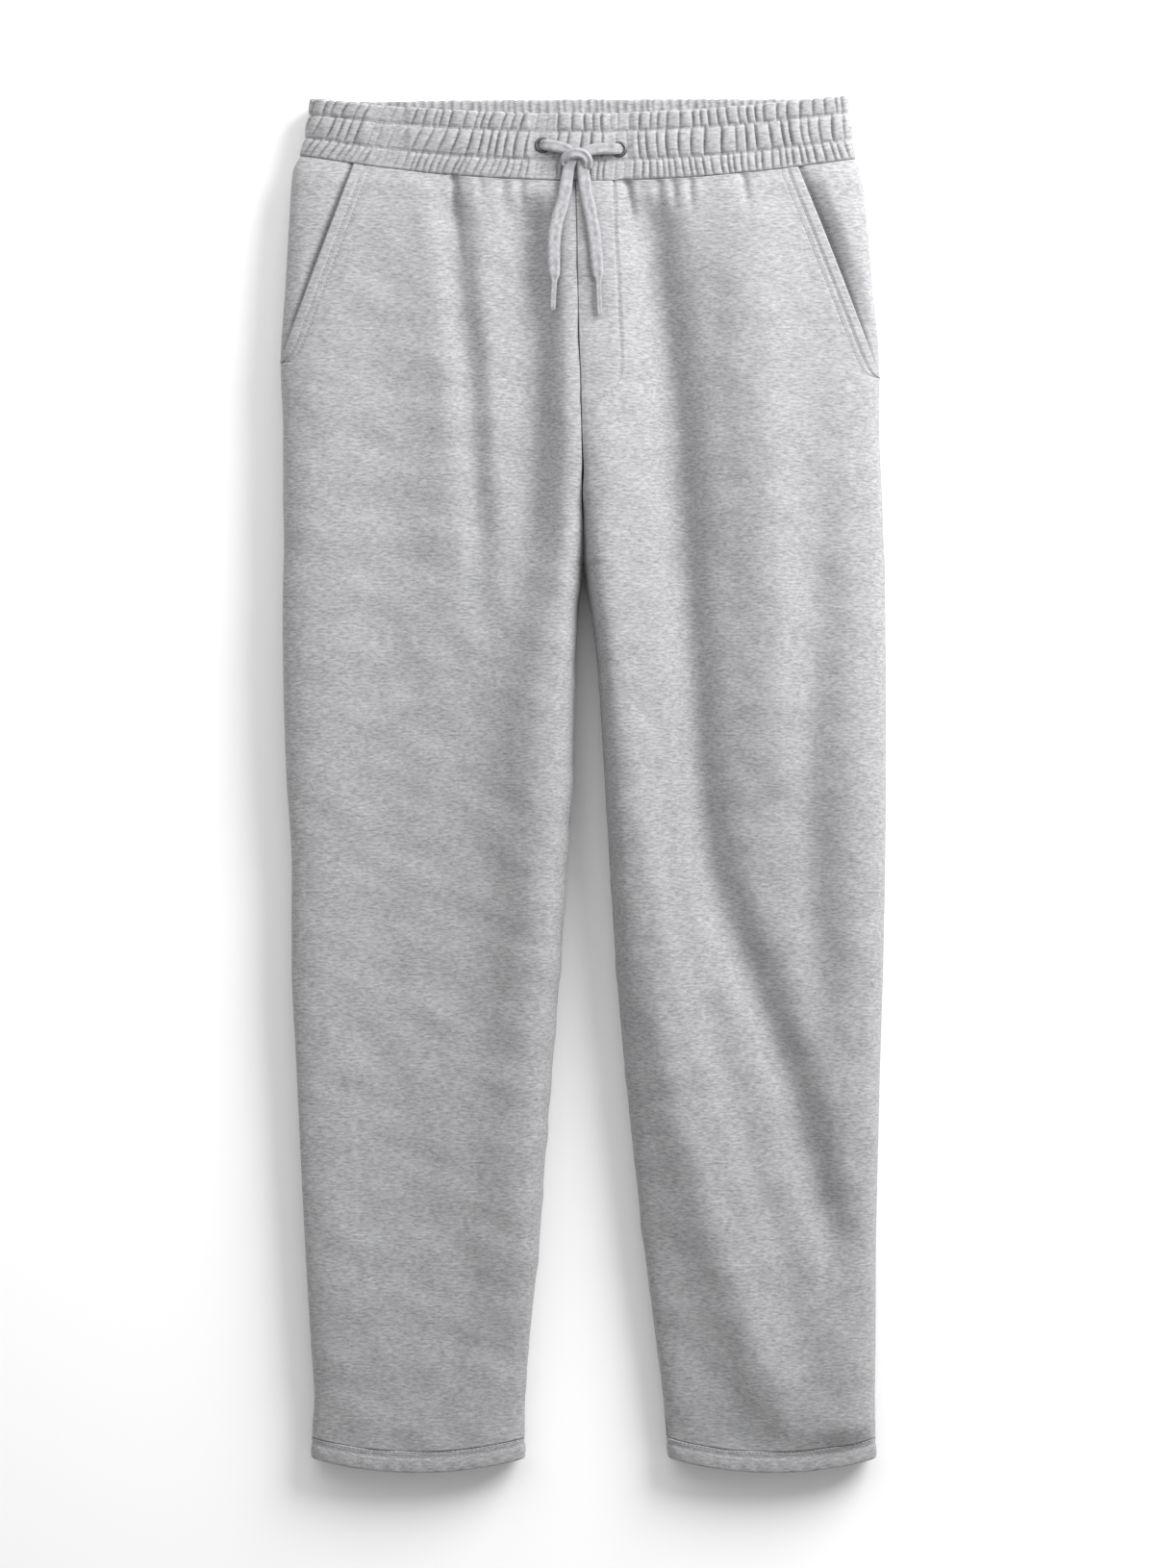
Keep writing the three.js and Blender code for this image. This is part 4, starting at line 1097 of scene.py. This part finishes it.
# A cord's section has powers that flatten its face and its edges. It is thinner where it is narrow, as at its
# tip, and both ends are rounded.
FACE_POWER = 0.7
EDGE_POWER = 0.85
TIP = {"width": 4.5, "share": 0.45, "over": 4.0, "thickness": 2.6}
END_ROUND = 1.2
END_LEAST = 0.02


def ribbon(name, route, thickness, material, step=1.0, sides=28, ridge=0.28):
    """A flat cord along a route, kept flat side down, with two soft ridges along it."""
    points = np.stack([route["x"], route["y"], route["z"]], axis=-1)
    reach = reach_of(points)
    count = int(reach[-1] / step) + 1
    share = np.linspace(0, 1, count * 4)
    even = np.interp(share, reach / reach[-1], np.linspace(0, 1, len(points)))
    fine = np.stack([through(points[:, k], even) for k in range(3)], axis=-1)
    width_fine = through(route["width"], even)
    length = reach_of(fine)
    at = np.linspace(0, length[-1], count)
    centre = np.stack([np.interp(at, length, fine[:, k]) for k in range(3)], axis=-1)
    width = np.interp(at, length, width_fine)
    tangent = np.gradient(centre, axis=0)
    tangent /= np.linalg.norm(tangent, axis=1, keepdims=True)
    across = np.cross(np.array([0, 0, 1.0]), tangent)
    across /= np.maximum(np.linalg.norm(across, axis=1, keepdims=True), 1e-6)
    up = np.cross(tangent, across)
    turn = np.arange(sides) * 2 * math.pi / sides
    u, v = np.cos(turn), np.sin(turn)
    flat = np.sign(v) * np.abs(v) ** FACE_POWER * (1 + ridge * np.sin(math.pi * u) ** 2 - ridge / 2)
    wide = np.sign(u) * np.abs(u) ** EDGE_POWER
    fuller = TIP["share"] + (1 - TIP["share"]) * (width - TIP["width"]) / TIP["over"]
    slim = np.maximum(thickness * np.minimum(1, fuller), TIP["thickness"])
    ends = np.sqrt(np.clip(np.minimum(at, at[-1] - at) / END_ROUND, END_LEAST, 1))
    rings = (
        centre[:, None]
        + across[:, None] * (wide * (width * ends)[:, None] / 2)[..., None]
        + up[:, None] * (flat * (slim * ends)[:, None] / 2)[..., None]
    )
    quads = strip_quads(count, sides, wrap_columns=True)
    total = count * sides
    flat_points = np.concatenate([rings.reshape(-1, 3), centre[:1], centre[-1:]])
    fan = np.arange(sides)
    after = (fan + 1) % sides
    first = np.stack([np.full(sides, total), fan, after], axis=1)
    second = np.stack([np.full(sides, total + 1), total - sides + after, total - sides + fan], axis=1)
    round_it = CORD["round"] * fan / sides
    uv = np.stack(np.broadcast_arrays(round_it, at[:, None]), axis=-1).reshape(-1, 2)
    uv = np.concatenate([uv, [[0, 0]], [[0, length[-1]]]])
    piece = new_mesh(name, flat_points, quads[:, ::-1], first, second, uv=uv)
    piece.data.materials.append(material)
    return piece, centre


# An eyelet stands a little over the band. Its section is given as radii from its middle and heights.
EYELET_LIFT = 0.3
EYELET_SIDES = 56


def eyelet_piece(name, x, y, material):
    profile = [(3.4, -2.8), (3.3, 0.2), (3.6, 0.9), (4.2, 1.3), (4.9, 1.35), (5.6, 1.1), (6.05, 0.6), (6.1, 0.1),
               (5.9, 0.0), (4.4, 0.0), (4.3, -2.8)]
    turn = np.arange(EYELET_SIDES) * 2 * math.pi / EYELET_SIDES
    rings = np.array([
        np.stack([x + r * np.cos(turn), y + r * np.sin(turn), np.full_like(turn, BAND_TOP + EYELET_LIFT + h)], axis=-1)
        for r, h in profile
    ])
    piece = new_mesh(name, rings, strip_quads(len(profile), EYELET_SIDES, wrap_rows=True, wrap_columns=True))
    piece.data.materials.append(material)
    return piece


# Add-on: settings, one operator for each group of pieces, and the panel that lists them

def length_setting(name, description, default):
    return bpy.props.FloatProperty(name=name, description=description, default=default, unit="LENGTH", precision=4)


def colour_setting(name, description, default):
    return bpy.props.FloatVectorProperty(name=name, description=description, default=default, size=4,
                                         subtype="COLOR", min=0, max=1)


class GarmentSettings(bpy.types.PropertyGroup):
    row_step: length_setting("Row step", "Distance between rows of the cloth's mesh", 0.0032)
    column_step: length_setting("Column step", "Distance between columns of the cloth's mesh", 0.0024)
    stitch_length: length_setting("Stitch length", "Length of one stitch that shows", 0.0025)
    stitch_pitch: length_setting("Stitch pitch", "Distance from one stitch to the next", 0.0031)
    thread: length_setting("Thread", "Thickness of the sewing thread", 0.0008)
    streak_length: length_setting("Streak length", "Length of the marl's streaks along the knit", 0.0027)
    streak_height: length_setting("Streak height", "Height of the marl's streaks", 0.0012)
    light: colour_setting("Light fibres", "Colour of the marl's light fibres", (0.402, 0.402, 0.41, 1))
    dark: colour_setting("Dark fibres", "Colour of the marl's dark fibres", (0.22, 0.22, 0.226, 1))
    cord: colour_setting("Cord", "Colour of the drawcord", (0.385, 0.379, 0.396, 1))


class StageSettings(bpy.types.PropertyGroup):
    distance: length_setting("Camera height", "Height of the camera over the table", 4.0)
    frame_height: length_setting("Frame height", "Height of the picture at the garment's edges", 1.1997)
    middle_x: length_setting("Frame middle", "Where the picture's middle is across the garment", -0.004)
    edge_height: length_setting("Edge height", "Height of the garment's edges over the table", 0.018)
    key_power: bpy.props.FloatProperty(name="Key light", description="Power of the large soft light", default=72,
                                       unit="POWER")
    fill_power: bpy.props.FloatProperty(name="Fill light", description="Power of the weak light", default=20,
                                        unit="POWER")
    sky: bpy.props.FloatProperty(name="Sky", description="Strength of the light from all round", default=0.47)


def material_of(kind):
    name = f"dressed_{kind}"
    made = bpy.data.materials.get(name)
    if made:
        return made
    settings = bpy.context.scene.garment
    if kind == "fleece":
        return fleece_material(name, settings.light, settings.dark, settings.streak_length, settings.streak_height)
    if kind == "cord":
        deep = tuple(0.6 * part for part in settings.cord[:3]) + (1,)
        return cord_material(name, settings.cord, deep)
    if kind == "thread":
        return thread_material(name, settings.light, settings.dark)
    return metal_material(name, (0.16, 0.16, 0.165, 1), (0.07, 0.07, 0.075, 1))


# Where the lights stand, in metres from the garment's middle. The key is low, at the upper right of the picture,
# and the fill stands beyond the waist.
KEY = {"place_at": (1.34, 1.24, 1.04), "size": 1.6}
FILL = {"place_at": (-0.6, 1.4, 1.3), "size": 2.4}
SENSOR = 36
FLOOR = {"half": 4000.0, "drop": 0.3, "albedo": 0.94, "grain": 300.0}


class GARMENT_OT_stage(bpy.types.Operator):
    """Floor, lights and the camera straight above"""

    bl_idname = "garment.stage"
    bl_label = "Stage"

    def execute(self, context):
        stage = context.scene.stage
        camera = bpy.data.cameras.new("camera")
        camera.sensor_fit = "VERTICAL"
        camera.sensor_height = SENSOR
        camera.lens = SENSOR * (stage.distance - stage.edge_height) / stage.frame_height
        camera.clip_end = 20
        holder = bpy.data.objects.new("camera", camera)
        holder.location = (stage.middle_x, 0, stage.distance)
        context.scene.collection.objects.link(holder)
        context.scene.camera = holder
        light_at("key", power=stage.key_power, **KEY)
        light_at("fill", power=stage.fill_power, **FILL)
        world = bpy.data.worlds.new("sky")
        world.use_nodes = True
        world.node_tree.nodes["Background"].inputs["Color"].default_value = (1, 1, 1, 1)
        world.node_tree.nodes["Background"].inputs["Strength"].default_value = stage.sky
        context.scene.world = world
        context.scene.view_settings.view_transform = "Standard"
        half, low = FLOOR["half"], -FLOOR["drop"]
        corners = [(-half, -half, low), (half, -half, low), (half, half, low), (-half, half, low)]
        floor = new_mesh("floor", corners, [(0, 1, 2, 3)])
        floor.data.materials.append(plain_material("floor", 3 * (FLOOR["albedo"],) + (1,), FLOOR["grain"]))
        return {"FINISHED"}


def light_at(name, place_at, size, power):
    light = bpy.data.lights.new(name, "AREA")
    light.shape = "DISK"
    light.size = size
    light.energy = power
    holder = bpy.data.objects.new(name, light)
    holder.location = place_at
    holder.rotation_euler = (-Vector(place_at)).to_track_quat("-Z", "Y").to_euler()
    bpy.context.scene.collection.objects.link(holder)


class GARMENT_OT_drawcord(bpy.types.Operator):
    """Drawcord: both halves from eyelet to tip, and the knot's wrap"""

    bl_idname = "garment.drawcord"
    bl_label = "Drawcord"

    def execute(self, context):
        material = material_of("cord")
        for side, route in CORD_ROUTES.items():
            piece, centre = ribbon(f"cord_{side}", route, CORD["thickness"], material)
            place(piece, "cord", f"strand_{side}", f"free_end_{side}", f"tip_{side}")
        wrap, _ = ribbon("knot_wrap", KNOT_WRAP, 4.4, material, ridge=0.6)
        place(wrap, "cord", "knot")
        return {"FINISHED"}


class GARMENT_OT_panels(bpy.types.Operator):
    """Front and back panels, and the hip pieces in the pocket mouths"""

    bl_idname = "garment.panels"
    bl_label = "Panels"

    def execute(self, context):
        material = material_of("fleece")
        for kind in ("front", "back", "hip"):
            for side in SIGN:
                cloth = cloth_of(kind, side)
                piece = wall_piece(f"{kind}_panel_{side}", cloth, CLOTH, material)
                nodes = [f"{kind}_{side}"] if kind == "hip" else [f"{kind}_{side}_{part}" for part in PARTS]
                place(piece, "fleece", *nodes)
        return {"FINISHED"}


class GARMENT_OT_waistband(bpy.types.Operator):
    """Gathered elastic waistband, outside and lining in one wall"""

    bl_idname = "garment.waistband"
    bl_label = "Waistband"

    def execute(self, context):
        rings, uv = band_wall()
        piece = ring_piece("band", rings, uv, material_of("fleece"))
        place(piece, "fleece", "waistband")
        return {"FINISHED"}


class GARMENT_OT_hems(bpy.types.Operator):
    """Turned-up hems"""

    bl_idname = "garment.hems"
    bl_label = "Hems"

    def execute(self, context):
        for side in SIGN:
            rings, uv = hem_wall(side)
            piece = ring_piece(f"hem_band_{side}", rings, uv, material_of("fleece"))
            place(piece, "fleece", f"hem_{side}")
        return {"FINISHED"}


class GARMENT_OT_stitching(bpy.types.Operator):
    """Stitches of the waistband, pockets, fly and hems"""

    bl_idname = "garment.stitching"
    bl_label = "Stitching"

    def execute(self, context):
        settings = context.scene.garment
        material = material_of("thread")
        sizes = (material, settings.stitch_length / MM, settings.stitch_pitch / MM, settings.thread / MM)
        rings, _ = band_wall()
        lines = [line_round(rings, BAND_ROWS, line, BAND_COLUMNS) for line in BAND_LINES]
        place(stitch_mesh("stitches_band", lines, *sizes), "fleece")
        top = WAIST_LEVEL - STITCH_START
        lines = []
        for side, pocket in POCKET.items():
            levels = np.linspace(top, pocket["end"] + STITCH_START, 60)
            for distance in POCKET_STITCHES:
                lines.append(line_on(cloth_of("front", side), levels, np.full_like(levels, distance), False))
        place(stitch_mesh("stitches_pockets", lines, *sizes), "fleece")
        (straight, rows), (turn, turn_rows) = FLY_TURN
        levels = np.concatenate([np.linspace(top, straight, rows), np.linspace(turn, FLY_END, turn_rows)])
        distances = along(FLY, "width", levels) - FLY_CREASE["inside"]
        place(stitch_mesh("stitches_fly", [line_on(cloth_of("front", "left"), levels, distances, True)], *sizes),
              "fleece")
        for side in SIGN:
            rings, _ = hem_wall(side)
            lines = [line_round(rings, HEM_ROWS - BOTTOM_LEVEL, line, HEM_COLUMNS) for line in HEM_LINES]
            place(stitch_mesh(f"stitches_hem_{side}", lines, *sizes), "fleece")
        return {"FINISHED"}


class GARMENT_OT_eyelets(bpy.types.Operator):
    """Metal eyelets"""

    bl_idname = "garment.eyelets"
    bl_label = "Eyelets"

    def execute(self, context):
        for side, (x, y) in EYELETS.items():
            piece = eyelet_piece(f"eyelet_ring_{side}", x, y, material_of("gunmetal"))
            place(piece, "eyelet_metal", f"eyelet_{side}")
        return {"FINISHED"}


OPERATORS = (
    GARMENT_OT_stage,
    GARMENT_OT_drawcord,
    GARMENT_OT_panels,
    GARMENT_OT_waistband,
    GARMENT_OT_hems,
    GARMENT_OT_stitching,
    GARMENT_OT_eyelets,
)


class GARMENT_PT_sidebar(bpy.types.Panel):
    bl_label = "Garment"
    bl_space_type = "VIEW_3D"
    bl_region_type = "UI"
    bl_category = "Garment"

    def draw(self, context):
        for settings in (context.scene.garment, context.scene.stage):
            for name in settings.__annotations__:
                self.layout.prop(settings, name)
        for operator in OPERATORS:
            self.layout.operator(operator.bl_idname)


CLASSES = (GarmentSettings, StageSettings, *OPERATORS, GARMENT_PT_sidebar)


def register():
    for each in CLASSES:
        bpy.utils.register_class(each)
    bpy.types.Scene.garment = bpy.props.PointerProperty(type=GarmentSettings)
    bpy.types.Scene.stage = bpy.props.PointerProperty(type=StageSettings)


def unregister():
    del bpy.types.Scene.stage
    del bpy.types.Scene.garment
    for each in reversed(CLASSES):
        bpy.utils.unregister_class(each)


def main():
    register()
    marl_group()
    cord_group()
    for operator in OPERATORS:
        area, name = operator.bl_idname.split(".")
        getattr(getattr(bpy.ops, area), name)()


if __name__ == "__main__":
    main()
